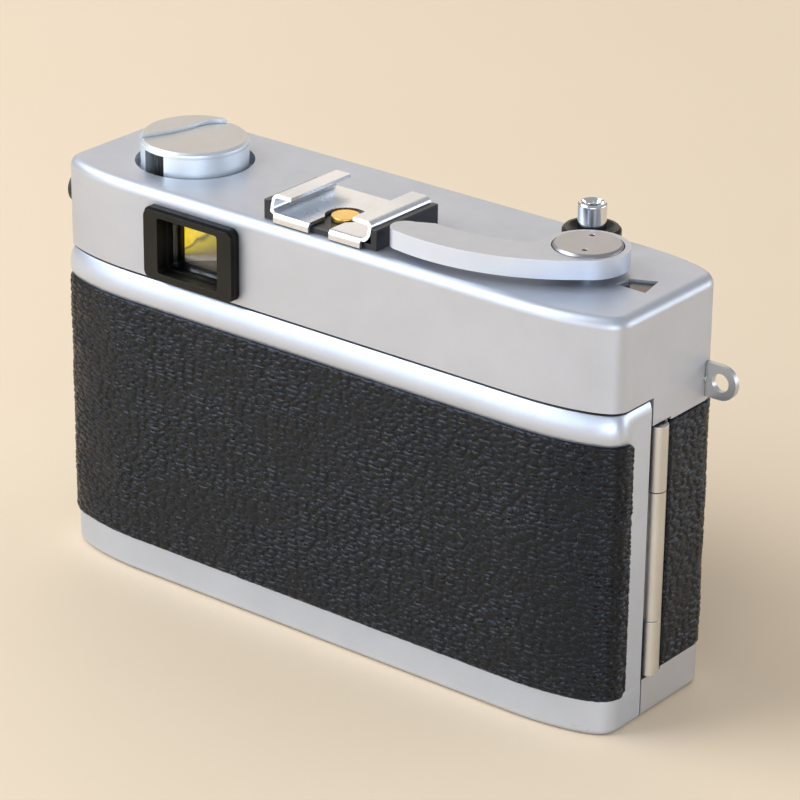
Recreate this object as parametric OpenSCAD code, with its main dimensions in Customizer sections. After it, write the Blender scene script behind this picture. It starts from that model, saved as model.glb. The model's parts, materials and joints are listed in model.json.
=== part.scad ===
// Compact 35 mm rangefinder camera with a fixed lens.
// Frame: +X towards the rewind end, -Y towards the lens, +Z up.
// Origin: mouth of the tripod socket, centre of the base.

/* [Body] */
// Width of the body over its ends
body_w = 112; // [110:0.5:114]
// Depth of the body over its front and rear faces
body_d = 31.95; // [31.5:0.05:33]
// Height of the top cover
body_h = 69.6; // [69:0.1:72]
// Length of each rounded plan corner along the width
corner_x = 17.5; // [14:0.5:20]
// Length of each rounded plan corner along the depth
corner_y = 5.1; // [4:0.1:6]
// Height of the seam between the door and the top cover
rear_seam_z = 54.5; // [54.2:0.1:55]
// Height of the lower edge of the top cover at the front and ends
front_seam_z = 49.3; // [49:0.1:50]
// Rounding of the top edge
top_round = 1.8; // [1:0.1:2.2]

/* [Lens] */
// Height of the lens axis
lens_z = 28; // [27.5:0.1:28.5]
// Thread radius of the filter ring
filter_r = 23; // [22:0.5:23.5]
// Distance the lens front stands before the body face
lens_reach = 20; // [19.5:0.5:22]

/* [Controls] */
// Rewind knob position along the width
rewind_x = 38.2; // [38:0.1:38.4]
// Rewind knob radius
knob_r = 8.9; // [8.5:0.1:9.2]
// Advance lever pivot position along the width
lever_x = -40.3; // [-40.4:0.1:-40.2]
// Shutter button radius
button_r = 2.3; // [2.2:0.1:2.5]
// Teeth on the wind gear, which turns with the lever
wind_teeth = 36; // [36]
// Teeth on the idler gear
idler_teeth = 16; // [16]
// Teeth on the sprocket gear
sprocket_gear_teeth = 13; // [13]

/* [Mounts] */
// Wall radius of the tripod socket
tripod_r = 3.2; // [3.15:0.05:3.3]

/* [Hidden] */
$fn = 64;

half_w = body_w / 2;
half_d = body_d / 2;

// Upright axes, as [x, y]
rewind_at = [rewind_x, 0.7];
lever_at = [lever_x, -0.1];
button_at = [-33.2, -11.0];
sprocket_at = [-24.5, 3.9];
hinge_at = [-55.6, 1.6];
bush_at = [0, 0];
release_at = [-24.5, 1.2];
battery_at = [26, -8.2];
contact_at = [0.2, 8.2];
screws_at = [[-50, -10.2], [50.5, -10.2], [-12, -12.4], [51.2, 2.0], [-50.6, 2.2]];
// Axes along the depth, as [x, z]
lens_at = [0, lens_z];
timer_at = [-36, 36];
// Axis along the width, as [y, z]
sync_at = [8.6, 62.8];

eye_x = half_w + 2.75;  // centre of the eye of a strap eyelet
eye_y = -10.48;         // middle plane of the strap eyelets
eye_z = 53.0;
step_y = 3.75;          // step of the top cover and rear edge of the base cover
door_y = 4.2;           // front edge of the door
recess_z = 67.6;        // floor of the dish below the rewind knob

// Radii of turning parts, and the clearance of their holes
running_gap = 0.06;
rewind_shaft_r = 2.2;
lever_shaft_r = 2.0;
sprocket_shaft_r = 1.5;
timer_shaft_r = 1.5;
idler_pin_r = 0.8;
hinge_pin_r = 0.8;

// Ranges that reach past the part being cut
all_x = [-60, 60];
cover_cut = [60, 80];
base_cut = [-1, 2];

// ---------- helpers ----------
// A range is [low, high] along one axis.
function span(middle, half) = [middle - half, middle + half];
function grown(range, by) = [range[0] - by, range[1] + by];
// Range from inner to outer on the +X (side = 1) or -X (side = -1) side of the middle
function side_range(side, inner, outer, middle = 0) =
    side > 0 ? [middle + inner, middle + outer] : [middle - outer, middle - inner];

// Elliptical plan corner in the quadrant given by the signs
function corner(size, radii, sign, steps = 9) =
    [for (i = [0:steps])
        let (angle = (sign[0] * sign[1] > 0 ? i : steps - i) * 90 / steps)
        [sign[0] * (size[0] / 2 - radii[0] + radii[0] * cos(angle)),
         sign[1] * (size[1] / 2 - radii[1] + radii[1] * sin(angle))]];
// Plan outline: straight faces joined by elliptical corners
function outline(inset) =
    let (size = [body_w - 2 * inset, body_d - 2 * inset],
         radii = [corner_x - inset, max(corner_y - inset, 2)])
    [for (sign = [[1, 1], [-1, 1], [-1, -1], [1, -1]]) each corner(size, radii, sign)];

module plan(inset, z)
    translate([0, 0, z[0]]) linear_extrude(z[1] - z[0]) polygon(outline(inset));
module box(x, y, z)
    translate([x[0], y[0], z[0]]) cube([x[1] - x[0], y[1] - y[0], z[1] - z[0]]);
module cyl_z(at, r, z, fn = 64)
    translate([at[0], at[1], z[0]]) cylinder(r = r, h = z[1] - z[0], $fn = fn);
module cone_z(at, low_r, high_r, z, fn = 64)
    translate([at[0], at[1], z[0]])
        cylinder(r1 = low_r, r2 = high_r, h = z[1] - z[0], $fn = fn);
// at is [x, z]
module cyl_y(at, r, y, fn = 64)
    translate([at[0], y[1], at[1]]) rotate([90, 0, 0])
        cylinder(r = r, h = y[1] - y[0], $fn = fn);
// at is [y, z]
module cyl_x(at, r, x, fn = 64)
    translate([x[0], at[0], at[1]]) rotate([0, 90, 0])
        cylinder(r = r, h = x[1] - x[0], $fn = fn);
module round_rect(x, y, r) union() {
    translate([x[0] + r, y[0]]) square([x[1] - x[0] - 2 * r, y[1] - y[0]]);
    translate([x[0], y[0] + r]) square([x[1] - x[0], y[1] - y[0] - 2 * r]);
    for (cx = [x[0] + r, x[1] - r], cy = [y[0] + r, y[1] - r])
        translate([cx, cy]) circle(r = r, $fn = 32);
}
// Plate in the XZ plane with rounded corners
module plate_y(x, z, r, y)
    translate([0, y[1], 0]) rotate([90, 0, 0]) linear_extrude(y[1] - y[0]) round_rect(x, z, r);
// Part turned on the lens axis: profile is [radius, distance before the body face]
module lens_turn(profile)
    translate([0, 0, lens_z]) rotate([90, 0, 0]) rotate_extrude($fn = 96)
        polygon([for (point = profile) [point[0], half_d + point[1]]]);
// Holes for the eyelet studs
module eyelet_holes(inner)
    for (side = [-1, 1]) cyl_x([eye_y, eye_z], 0.86, side_range(side, inner, 60), 32);
module rivet_holes() for (z = [12, 27.5, 43]) cyl_x([9.7, z], 0.6, [-60, -50], 24);

// ---------- body ----------
casting_z = [1.35, 53.9];
chamber_z = [3.2, 51.6];
film_y = 9.6;                                   // film plane
film_rails_z = [-18.2, -13.6, 12.6, 16.9];      // lower edges, from the lens axis
film_rail_h = 1.3;
cassette_r = 13.2;
take_up_r = 11.6;

module casting_solid() union() {
    intersection() {
        union() {
            plan(0.86, [casting_z[0], 49.2]);
            plan(1.05, [49.1, casting_z[1]]);
        }
        union() {
            box(all_x, [-20, 3.5], [1, 55]);
            box([-52.8, 52.6], [3.4, 8.9], [1, 55]);
        }
    }
    // light ribs that reach into the door
    intersection() {
        plan(1.7, casting_z);
        union() {
            box([-52.4, 52.6], [8.8, 13.2], [casting_z[0], chamber_z[0]]);
            box([-52.4, 52.6], [8.8, 13.2], [chamber_z[1], casting_z[1]]);
        }
    }
    for (rail = film_rails_z)
        box([-17.9, 19.5], [8.8, film_y], [lens_z + rail, lens_z + rail + film_rail_h]);
    // bearing boss of the rewind shaft
    cyl_z(rewind_at, 4.2, [53.8, 55.2]);
}
// Round chamber, open to the rear
module film_chamber(at, r) {
    cyl_z(at, r, chamber_z);
    box(span(at[0], r), [at[1], 20], chamber_z);
}
module shaft_holes() {
    top_wall = [50, 56];
    cyl_z(rewind_at, rewind_shaft_r + running_gap, top_wall);
    cyl_z(lever_at, lever_shaft_r + running_gap, top_wall);
    cyl_z(lever_at, lever_shaft_r + running_gap, [0.5, 4]);
    cyl_z(sprocket_at, sprocket_shaft_r + running_gap, top_wall);
    cyl_z(sprocket_at, sprocket_shaft_r + running_gap, [2.2, 4]);
    cyl_z(idler_at, idler_pin_r + running_gap, [52.2, 54.5], 32);
    // self-timer spindle
    cyl_y(timer_at, timer_shaft_r + running_gap, [-20, -12.1], 32);
    // button path
    cyl_z(button_at, 1.35, [50.9, 54.5], 32);
}
// Tripod bush, rewind release, battery and screw holes
module base_wells() {
    cyl_z(bush_at, 5.6, [0, 2.6]);
    cyl_z(bush_at, 4.7, [2.5, 7.0]);
    cyl_z(release_at, 1.7, [0.5, 2.7], 32);
    cyl_z(battery_at, 6.1, [0.5, 6.4]);
    for (at = screws_at) cyl_z(at, 0.76, [0.5, 3.1], 32);
}
module body_casting() color("#2b2b2d") difference() {
    casting_solid();
    film_chamber(rewind_at, cassette_r);
    film_chamber(lever_at, take_up_r);
    // sprocket bay
    box([-31.2, -17.9], [-2.6, 20], chamber_z);
    // film gate and light tunnel
    box([-18, 18], [5, 20], span(lens_z, 12));
    box([-16.5, 16.5], [-9.2, 5.5], span(lens_z, 14.5));
    cyl_y(lens_at, 19.3, [-20, -9]);
    shaft_holes();
    // hinge groove
    box([-57, -53.7], [-0.9, 5], [0, 54.5]);
    // lift bar slot at the catch end
    box([52.9, 54.5], [-1.3, 4.5], [20, 56]);
    box([45, 54.5], [-1.6, 2.2], [54.0, 56]);
    base_wells();
    // relief pockets beside the tunnel
    box([18.2, 23.5], [-13, -2], [12, 48]);
    box([-27, -18.2], [-13, -4.6], [12, 48]);
    eyelet_holes(52);
}

cover_colour = "#c6c3be";
dish_r = 10.2;

module cover_shell() color(cover_colour) difference() {
    hull() {
        plan(0, [front_seam_z, body_h - top_round]);
        for (k = [1:4])
            let (angle = k * 90 / 4, z = body_h - top_round + top_round * sin(angle))
                plan(top_round * (1 - cos(angle)), [z - 0.02, z]);
    }
    // hollow
    hull() {
        plan(1.0, [front_seam_z - 1, body_h - top_round - 0.4]);
        plan(2.0, [front_seam_z - 1, body_h - 1.0]);
    }
    // step over the door
    box(all_x, [step_y, 20], [40, rear_seam_z]);
    cyl_z(rewind_at, dish_r, [recess_z, 80], 96);
    // lever, collar and shoe openings
    cyl_z(lever_at, 3.0, cover_cut);
    cyl_z(button_at, 3.6, cover_cut);
    cyl_z(contact_at, 2.0, cover_cut);
    // counter opening
    translate([0, 0, 60]) linear_extrude(20) polygon(counter_shape(0));
    // eyepiece opening
    box([18.1, 32.4], [10, 20], [55.9, 66.6]);
    // finder windows
    box([-12.2, 33.4], [-20, -10], [56.8, 66.4]);
    // hinge step: the rear of the skirt ends above the knuckles
    box([-60, -53.5], [-1.1, 5], [40, 49.8]);
    eyelet_holes(50);
    // sync socket
    cyl_x(sync_at, 2.85, [50, 60], 48);
}
// Dish below the rewind knob, pressed as one with the cover
module rewind_dish() color(cover_colour) difference() {
    cyl_z(rewind_at, 11.0, [recess_z - 0.6, body_h - 0.9], 96);
    cyl_z(rewind_at, dish_r, [recess_z, 80], 96);
    cyl_z(rewind_at, 3.2, cover_cut);
}
module top_cover() {
    cover_shell();
    rewind_dish();
}

// Lower pan of the base cover and door, with an eased bottom edge
module base_pan(top) hull() {
    plan(0.5, [0, 0.3]);
    plan(0.15, [0.3, 0.7]);
    plan(0, [0.7, top]);
}
module base_cover() color("#bdb8ae") difference() {
    intersection() {
        base_pan(7.1);
        box(all_x, [-20, step_y], [-1, 8]);
    }
    // hollow
    plan(0.82, [1.2, 8]);
    cyl_z(bush_at, 4.15, base_cut);
    cyl_z(battery_at, 6.3, base_cut);
    cyl_z(release_at, 1.6, base_cut, 32);
    // countersunk screw holes
    for (at = screws_at) {
        cyl_z(at, 0.85, base_cut, 32);
        cone_z(at, 1.75, 0.85, [-0.01, 0.89], 32);
    }
    // notch below the hinge
    box([-60, -53.6], [-1.0, 6], [6.7, 8]);
}

module front_leather() color("#1d1d1f") difference() {
    plan(-0.22, [7.3, front_seam_z - 0.05]);
    plan(0.84, [7, 50]);
    box([-60, -50], [-1.0, 20], [0, 60]);
    box(all_x, [step_y - 0.3, 20], [0, 60]);
    cyl_y(lens_at, 24.7, [-20, -5], 96);
    cyl_y(timer_at, 3.6, [-20, -5], 32);
}

// ---------- door ----------
bead_z = 51.5;      // middle of the rounded upper edge of the door
bead_h = 2.65;      // its half height
door_leather_z = [6.06, 48.8];

module back_door() color("#c4c4c8") difference() {
    union() {
        intersection() {
            base_pan(6.0);
            box(all_x, [door_y, 30], [-1, 7]);
        }
        intersection() {
            plan(0.12, [5.9, 49.5]);
            box(all_x, [door_y, 30], [5, 50]);
        }
        // bulging upper edge, built up in thin layers
        intersection() {
            hull() for (k = [0:6])
                let (angle = -90 + k * 30, z = bead_z + bead_h * sin(angle))
                    plan(-0.62 * cos(angle) + 0.08 + (k == 6 ? 0.35 : 0), [z, z + 0.15]);
            box(all_x, [door_y, 30], [48, 55]);
        }
    }
    // hollow of the pan
    plan(1.05, [1.0, 60]);
    rivet_holes();
}

module door_leather() color("#19191b") intersection() {
    difference() {
        plan(-0.49, door_leather_z);
        plan(0.12, [5, 50]);
    }
    translate([-60, 0, 0]) rotate([90, 0, 90]) linear_extrude(120)
        round_rect([8.8, 24], door_leather_z, 1.5);
}

// The hinge barrel is split in three knuckles; the middle one is the door's.
hinge_z = [7.0, 49.4];
middle_knuckle_z = [16.5, 38.4];
knuckle_gap = 0.05;         // from each end of the middle knuckle's range to a knuckle
knuckle_r = 1.6;
body_leaf_x = [hinge_at[0], -54.95];
body_leaf_y = -0.88;        // front face of the body leaf
door_leaf_x = [-54.93, -54.35];
door_knuckle_z = grown(middle_knuckle_z, -knuckle_gap);
body_knuckles_z = [
    [hinge_z[0], middle_knuckle_z[0] - knuckle_gap],
    [middle_knuckle_z[1] + knuckle_gap, hinge_z[1]],
];

module hinge_body_leaf() color("#b9b4aa") {
    for (z = body_knuckles_z) difference() {
        union() {
            cyl_z(hinge_at, knuckle_r, z, 48);
            box(body_leaf_x, [body_leaf_y, hinge_at[1]], z);
        }
        cyl_z(hinge_at, hinge_pin_r, [0, 60], 32);
    }
    // leaf on the casting wall, joining the two knuckles
    difference() {
        box(body_leaf_x, [body_leaf_y, -0.25], hinge_z);
        cyl_z(hinge_at, hinge_pin_r, [0, 60], 32);
    }
}
module hinge_door_leaf() color("#b9b4aa") difference() {
    union() {
        cyl_z(hinge_at, knuckle_r, door_knuckle_z, 48);
        box(door_leaf_x, [hinge_at[1], 10.5], door_knuckle_z);
        box(door_leaf_x, [5.2, 10.5], [9, 46]);
    }
    cyl_z(hinge_at, hinge_pin_r + running_gap, [0, 60], 32);
    rivet_holes();
}
module hinge_pin() color("#d0ccc4") cyl_z(hinge_at, hinge_pin_r, hinge_z, 32);

plate_stud_x = 15;      // studs of the pressure plate, either side of the lens axis

module pressure_plate() color("#26262a") {
    difference() {
        plate_y([-23, 23], span(lens_z, 17.5), 2, [9.95, 10.75]);
        // two long grooves in the film side
        for (z = [-5, 5]) plate_y([-16, 16], span(lens_z + z, 1), 0.9, [9, 10.25]);
    }
    for (side = [-1, 1]) cyl_y([side * plate_stud_x, lens_z], 1.2, [10.7, 12.2], 32);
}
// Strip with stepped pads towards the studs of the plate
module pressure_spring() color("#8d8d90") union() {
    box([-19, 19], [14.5, 14.9], span(lens_z, 3));
    for (side = [-1, 1])
        translate([side * 13, 0, 0]) box([-3, 3], [13.7, 14.6], span(lens_z, 2.4));
    for (side = [-1, 1])
        translate([side * plate_stud_x, 0, 0])
            box([-2.4, 2.4], [12.95, 13.75], span(lens_z, 2));
}
module light_seals() color("#141414") {
    box([-44, 44], [13.2, 14.3], [1.9, 3.0]);
    box([-44, 44], [13.2, 14.3], [51.9, 53.2]);
}
// Hook fixed in the door's catch end; its nose stands just below the tooth of the lift bar
catch_x = [53.35, 54.15];
module door_catch() color("#b0b0b4") union() {
    box([catch_x[0], 54.93], [7.4, 10.7], [24.5, 30.0]);
    box(catch_x, [2.4, 8.5], [25.5, 28.2]);
    box(catch_x, [2.4, 3.2], [28.1, 30.0]);
}

// ---------- base ----------
module tripod_bush() color("#c9c2b0") difference() {
    union() {
        cyl_z(bush_at, 4.1, [0, 1.25]);
        cyl_z(bush_at, 5.5, [1.24, 2.5]);
        cyl_z(bush_at, 4.6, [2.45, 6.8]);
    }
    cyl_z(bush_at, tripod_r, [-1, 6.0]);
}
// Countersunk screws with crossed slots
module base_screws() color("#9d9d9f") for (at = screws_at) difference() {
    union() {
        cone_z(at, 1.68, 0.8, [0.04, 0.9], 32);
        cyl_z(at, 0.75, [0.7, 3.0], 32);
    }
    for (half = [[1.0, 0.2], [0.2, 1.0]])
        box(span(at[0], half[0]), span(at[1], half[1]), [-0.5, 0.4]);
}
module battery_cover() color("#c2beb4") difference() {
    union() {
        cyl_z(battery_at, 6.22, [0.05, 1.2]);
        cyl_z(battery_at, 5.6, [1.15, 3.4]);
    }
    // coin slot
    box(span(battery_at[0], 4.6), span(battery_at[1], 0.7), [-0.5, 0.75]);
    cyl_z(battery_at, 4.8, [2.2, 4]);
}
module rewind_release() color("#bcbcbe") union() {
    cyl_z(release_at, 1.52, [0.1, 1.3], 32);
    cyl_z(release_at, 1.2, [1.25, 1.7], 32);
}

// ---------- ends ----------
eye_plate_r = 2.85;
eye_plate_y = span(eye_y, 0.48);

module strap_eyelets() color("#c8c6c2")
    for (side = [-1, 1]) mirror([side > 0 ? 0 : 1, 0, 0]) difference() {
        union() {
            // stud through the wall
            cyl_x([eye_y, eye_z], 0.84, [52.6, half_w + 0.3], 32);
            // eye plate, square at its root and round at its end
            cyl_y([eye_x, eye_z], eye_plate_r, eye_plate_y);
            box([half_w + 0.02, eye_x], eye_plate_y, span(eye_z, eye_plate_r));
        }
        cyl_y([eye_x, eye_z], 1.5, span(eye_y, 3), 48);
    }
module sync_socket() color("#222226") difference() {
    union() {
        cyl_x(sync_at, 2.8, [54.3, half_w + 1.0], 48);
        cyl_x(sync_at, 3.2, [53.2, 54.35], 48);
    }
    cyl_x(sync_at, 1.75, [half_w - 0.9, half_w + 3], 48);
    cyl_x(sync_at, 0.4, [50, half_w + 3], 24);
}

// ---------- shoe ----------
shoe_x = 0.7;               // middle of the rails
shoe_half_w = 10;           // half width over the rails
rail_y = [-1.2, 13.4];
rail_floor_z = [body_h + 0.92, body_h + 1.72];
rail_top_z = body_h + 4.3;

module shoe_base() color("#1c1d22") difference() {
    union() {
        box([-10.6, 12.0], [-1.4, 14.0], [body_h, body_h + 0.9]);
        // side cheeks beside the rails
        box([-10.6, -9.45], [-1.4, 14.0], [body_h, body_h + 3.4]);
        box([10.85, 12.0], [1.0, 14.0], [body_h, body_h + 3.2]);
    }
    cyl_z(contact_at, 1.3, cover_cut, 32);
}
module shoe_rails() color("#cfcdc8") difference() {
    union() {
        // floor
        box(span(shoe_x, shoe_half_w), [rail_y[0], 14.6], rail_floor_z);
        // folded rear lip
        box(span(shoe_x, shoe_half_w), [14.1, 14.9], [body_h + 0.1, rail_floor_z[1]]);
        for (side = [-1, 1]) {
            // side wall
            box(side_range(side, 9.4, shoe_half_w, shoe_x), rail_y,
                [rail_floor_z[0], rail_top_z]);
            // inward lip
            box(side_range(side, 6.2, shoe_half_w, shoe_x), rail_y,
                [body_h + 3.6, rail_top_z]);
        }
    }
    // keyhole round the contact
    cyl_z(contact_at, 3.3, cover_cut, 48);
    box([-1.8, 2.3], [contact_at[1], 16], cover_cut);
}
module shoe_contact() color("#e0b040") union() {
    cyl_z(contact_at, 2.3, [body_h + 0.95, body_h + 1.75], 48);
    cyl_z(contact_at, 1.2, [body_h - 3.0, body_h + 1.0], 32);
}

// ---------- finder ----------
split_y = 6.9;                      // the rangefinder beam crosses the body here
mirror_at = [-7.3, split_y];
finder_middle_z = 61.5;
finder_floor_z = [56.2, 57.2];

// Openings of the bezel, as [x range, z range]
finder_opening = [[18.0, 32.6], [57.3, 65.9]];
frame_line_opening = [[1.2, 15.0], [57.3, 65.9]];
rangefinder_opening = [[-10.4, -4.2], [58.6, 64.6]];

module opening_plate(opening, growth, r, y)
    plate_y(grown(opening[0], growth), grown(opening[1], growth), r, y);
module opening_glass(opening) opening_plate(opening, -0.05, 0.65, [-15.6, -14.4]);

module eyepiece_frame() color("#17171a") difference() {
    union() {
        plate_y([15.55, 34.6], [55.05, 67.3], 1.4, [15.985, 17.2]);
        plate_y([15.75, 34.3], [55.2, 66.95], 1.3, [17.1, 17.8]);
        plate_y([18.2, 32.3], [56.0, 66.5], 0.6, [12.6, 16.0]);
    }
    // stepped opening, narrowing towards the front
    plate_y([18.7, 31.4], [56.4, 65.9], 0.5, [15.5, 30]);
    plate_y([19.0, 31.1], [56.7, 65.7], 0.5, [13.2, 30]);
    plate_y([19.8, 30.3], [57.4, 65.1], 0.4, [10, 20]);
}
module eyepiece_glass() color([0.9, 0.85, 0.5, 0.5])
    plate_y([19.05, 31.05], [56.75, 65.65], 0.45, [13.25, 14.35]);
module finder_tube() color("#1e1e20") difference() {
    beam_y = [split_y - 6.1, split_y + 5.6];
    union() {
        box([18.4, 32.0], [-12.6, 12.3], [finder_floor_z[0], 66.9]);
        // floor and end wall of the rangefinder arm
        box([-12.0, 18.5], beam_y, finder_floor_z);
        box([-12.0, -10.8], beam_y, [finder_floor_z[0], 65.8]);
        // mirror pin
        cyl_z(mirror_at, 0.45, [57.1, 57.8], 24);
    }
    box([19.6, 30.8], [-14, 14], [finder_floor_z[1], 65.9]);
    // side port for the rangefinder beam
    box([17, 20], span(split_y, 4.3), [58.0, 65.0]);
}
module beam_splitter() color([0.95, 0.8, 0.25, 0.6])
    translate([25.2, split_y, finder_middle_z]) rotate([0, 0, 45])
        cube([14.2, 0.9, 8.4], center = true);
module finder_bezel() color("#151517") difference() {
    union() {
        plate_y([-13.6, 34.6], [55.7, 67.4], 1.2, [-16.9, -15.99]);
        plate_y([-12.1, 33.3], [56.9, 66.3], 0.8, [-16.1, -13.9]);
    }
    for (opening = [finder_opening, frame_line_opening, rangefinder_opening]) {
        opening_plate(opening, 0, 0.7, [-20, -10]);
        // wider step at the front
        opening_plate(opening, 0.6, 0.9, [-20, -16.5]);
    }
}
module finder_window() color([0.6, 0.7, 0.8, 0.4]) opening_glass(finder_opening);
module frame_line_window() color([0.9, 0.92, 0.95, 0.7]) opening_glass(frame_line_opening);
module rangefinder_window() color([0.6, 0.7, 0.8, 0.4]) opening_glass(rangefinder_opening);
module rangefinder_mirror() color("#9aa0a8") difference() {
    union() {
        translate([mirror_at[0], mirror_at[1], finder_middle_z]) rotate([0, 0, 45])
            cube([8.0, 1.0, 7.0], center = true);
        cyl_z(mirror_at, 1.5, [57.3, 58.4], 32);
        // arm along the floor
        box([mirror_at[0], mirror_at[0] + 9], span(mirror_at[1], 0.9), [57.3, 58.0]);
    }
    cyl_z(mirror_at, 0.5, [56, 57.9], 24);
}

// ---------- advance lever ----------
// Centres and radii of the arm's edges, measured from the pivot
arm_outer_at = [19.95, -20.6];
arm_outer_r = 35.1;
arm_inner_at = [19.95, -19.0];
arm_inner_r = 26.8;
// Corners [x, y] of the area that holds the arm
arm_limits = [
    [-4.6, 4.6], [-1, 30], [25.95, 30], [25.95, 9.0],
    [23.2, 7.55], [22, -10], [2, -12], [-3, -5.8],
];
// Corners [x, y] of the web between the arm and the pivot disc, before its fillet
arm_web = [[-2, 4], [5, 8.5], [8.9, 5.5], [6.5, 1.0], [3, -4]];
web_fillet_at = [10.41, 1.71];
lever_z = body_h + 1.25;
lever_h = 3.07;
lever_top = lever_z + lever_h;
lever_seat_z = lever_z + 1.6;       // floor of the well for the cap
lever_cap_r = 5.46;

module lever_blank() union() {
    cylinder(r = 6.55, h = lever_h, $fn = 64);
    difference() {
        intersection() {
            translate(arm_outer_at) cylinder(r = arm_outer_r, h = lever_h, $fn = 128);
            linear_extrude(lever_h) polygon(arm_limits);
        }
        cyl_z(arm_inner_at, arm_inner_r, [-1, lever_h + 1], 128);
    }
    difference() {
        linear_extrude(lever_h) polygon(arm_web);
        cyl_z(web_fillet_at, 4, [-1, lever_h + 1]);
    }
    // blunt tip
    translate([25.95, 11.55, 0]) cylinder(r = 2.45, h = lever_h, $fn = 48);
}
module advance_lever() color("#c9c6c1") difference() {
    translate([lever_at[0], lever_at[1], lever_z]) lever_blank();
    cyl_z(lever_at, 5.62, [lever_seat_z, 80]);
    cyl_z(lever_at, 2.3, cover_cut);
}
module lever_cap() color("#cbc9c5") difference() {
    rim_z = lever_top + 0.05;
    union() {
        cyl_z(lever_at, lever_cap_r, [lever_z + 1.62, rim_z]);
        cone_z(lever_at, lever_cap_r, 5.05, [rim_z, rim_z + 0.4]);
    }
    // two small holes
    for (side = [-1, 1])
        cyl_z(lever_at + side * [2.7 * cos(60), -3.3 * sin(60)], 0.45,
            [lever_top, lever_top + 2], 24);
}

// ---------- wind gears ----------
gear_module = 0.5;
gear_z = [55.4, 56.9];
function gear_r(teeth) = teeth * gear_module / 2;
function mesh_distance(teeth, other) = gear_r(teeth) + gear_r(other) + 0.05;
function direction(from, to) = atan2(to[1] - from[1], to[0] - from[0]);
function polar(r, angle) = [r * cos(angle), r * sin(angle)];
// Toothed disc: straight flanks with running backlash
function gear_outline(teeth, phase) =
    let (pitch = 360 / teeth, tip_r = gear_r(teeth) + 0.42, root_r = gear_r(teeth) - 0.6)
    [for (i = [0:teeth - 1]) let (angle = phase + i * 360 / teeth) each [
        polar(root_r, angle - 0.30 * pitch), polar(tip_r, angle - 0.11 * pitch),
        polar(tip_r, angle + 0.11 * pitch), polar(root_r, angle + 0.30 * pitch)]];
module gear(at, teeth, phase)
    translate([at[0], at[1], gear_z[0]]) linear_extrude(gear_z[1] - gear_z[0])
        polygon(gear_outline(teeth, phase));

// The idler stands at its mesh distance from both the wind and the sprocket gear.
train_length = norm(sprocket_at - lever_at);
wind_mesh = mesh_distance(wind_teeth, idler_teeth);
sprocket_mesh = mesh_distance(sprocket_gear_teeth, idler_teeth);
wind_to_idler = direction(lever_at, sprocket_at)
    - acos((wind_mesh * wind_mesh + train_length * train_length - sprocket_mesh * sprocket_mesh)
        / (2 * wind_mesh * train_length));
idler_at = lever_at + polar(wind_mesh, wind_to_idler);
idler_to_sprocket = direction(idler_at, sprocket_at);
// Tooth phases put a tooth of one gear in a gap of the next at each mesh.
wind_phase = wind_to_idler;
idler_phase = wind_to_idler + 180 + 180 / idler_teeth;
sprocket_phase = idler_to_sprocket + 180 + 180 / sprocket_gear_teeth
    + (idler_phase - idler_to_sprocket) * (-idler_teeth / sprocket_gear_teeth);

module lever_shaft() color("#a5a39c") union() {
    cyl_z(lever_at, 2.25, [55.2, lever_seat_z]);
    cyl_z(lever_at, lever_shaft_r, [1.4, 55.3]);
    gear(lever_at, wind_teeth, wind_phase);
}
module lever_spring() color("#7d7d7d") difference() {
    cyl_z(lever_at, 4.6, [58.2, 60.6]);
    cyl_z(lever_at, 3.6, [50, 70]);
}
module idler_gear() color("#b99b55") union() {
    gear(idler_at, idler_teeth, idler_phase);
    cyl_z(idler_at, idler_pin_r, [52.4, 55.5], 32);
}
module sprocket_shaft() color("#b8b8ba") union() {
    cyl_z(sprocket_at, sprocket_shaft_r, [2.5, 55.5], 32);
    cyl_z(sprocket_at, 4.9, [6.0, 49.5]);
    gear(sprocket_at, sprocket_gear_teeth, sprocket_phase);
    // two rows of eight film teeth
    for (z = [lens_z - 13.2, lens_z + 11.6])
        for (i = [0:7])
            translate([sprocket_at[0], sprocket_at[1], z]) rotate([0, 0, i * 45 + 22.5])
                translate([4.6, -0.7, 0]) cube([1.35, 1.4, 1.6]);
}
module take_up_spool() color("#2a2a2c") difference() {
    union() {
        cyl_z(lever_at, 7.2, [4.2, 50.6]);
        // flanges
        cyl_z(lever_at, 9.6, [4.2, 5.4]);
        cyl_z(lever_at, 9.6, [49.4, 50.6]);
    }
    cyl_z(lever_at, lever_shaft_r + running_gap, [0, 60]);
    cyl_z(lever_at, 5.6, [6.5, 48.5]);
    // three slots in the wall
    for (i = [0:2])
        translate(lever_at) rotate([0, 0, i * 120]) translate(-lever_at)
            box([lever_at[0] + 5.0, lever_at[0] + 9], span(lever_at[1], 1.2), [12, 44]);
}

// ---------- frame counter ----------
// Corners [x, y] of the counter opening
function counter_shape(inset) = [
    [-46.5 - inset, 1.2 - inset],
    [-46.9 - inset, -2.0 + inset],
    [-50.9 + inset, -3.8 + inset * 1.4],
    [-52.0 + inset, 1.3 - inset],
];
module counter_dial() color("#e8e4da") difference() {
    union() {
        cyl_z(lever_at, 10.4, [66.5, 67.1]);
        cyl_z(lever_at, 4.4, [65.2, 66.6]);
    }
    cyl_z(lever_at, 2.32, [60, 70]);
}
module counter_window() color([0.6, 0.55, 0.5, 0.6])
    translate([0, 0, body_h - 1.0]) linear_extrude(0.55) polygon(counter_shape(0.05));

// ---------- shutter release ----------
collar_r = 4.67;
cable_socket_r = 1.35;
button_edge_z = body_h + 6.2;

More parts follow.
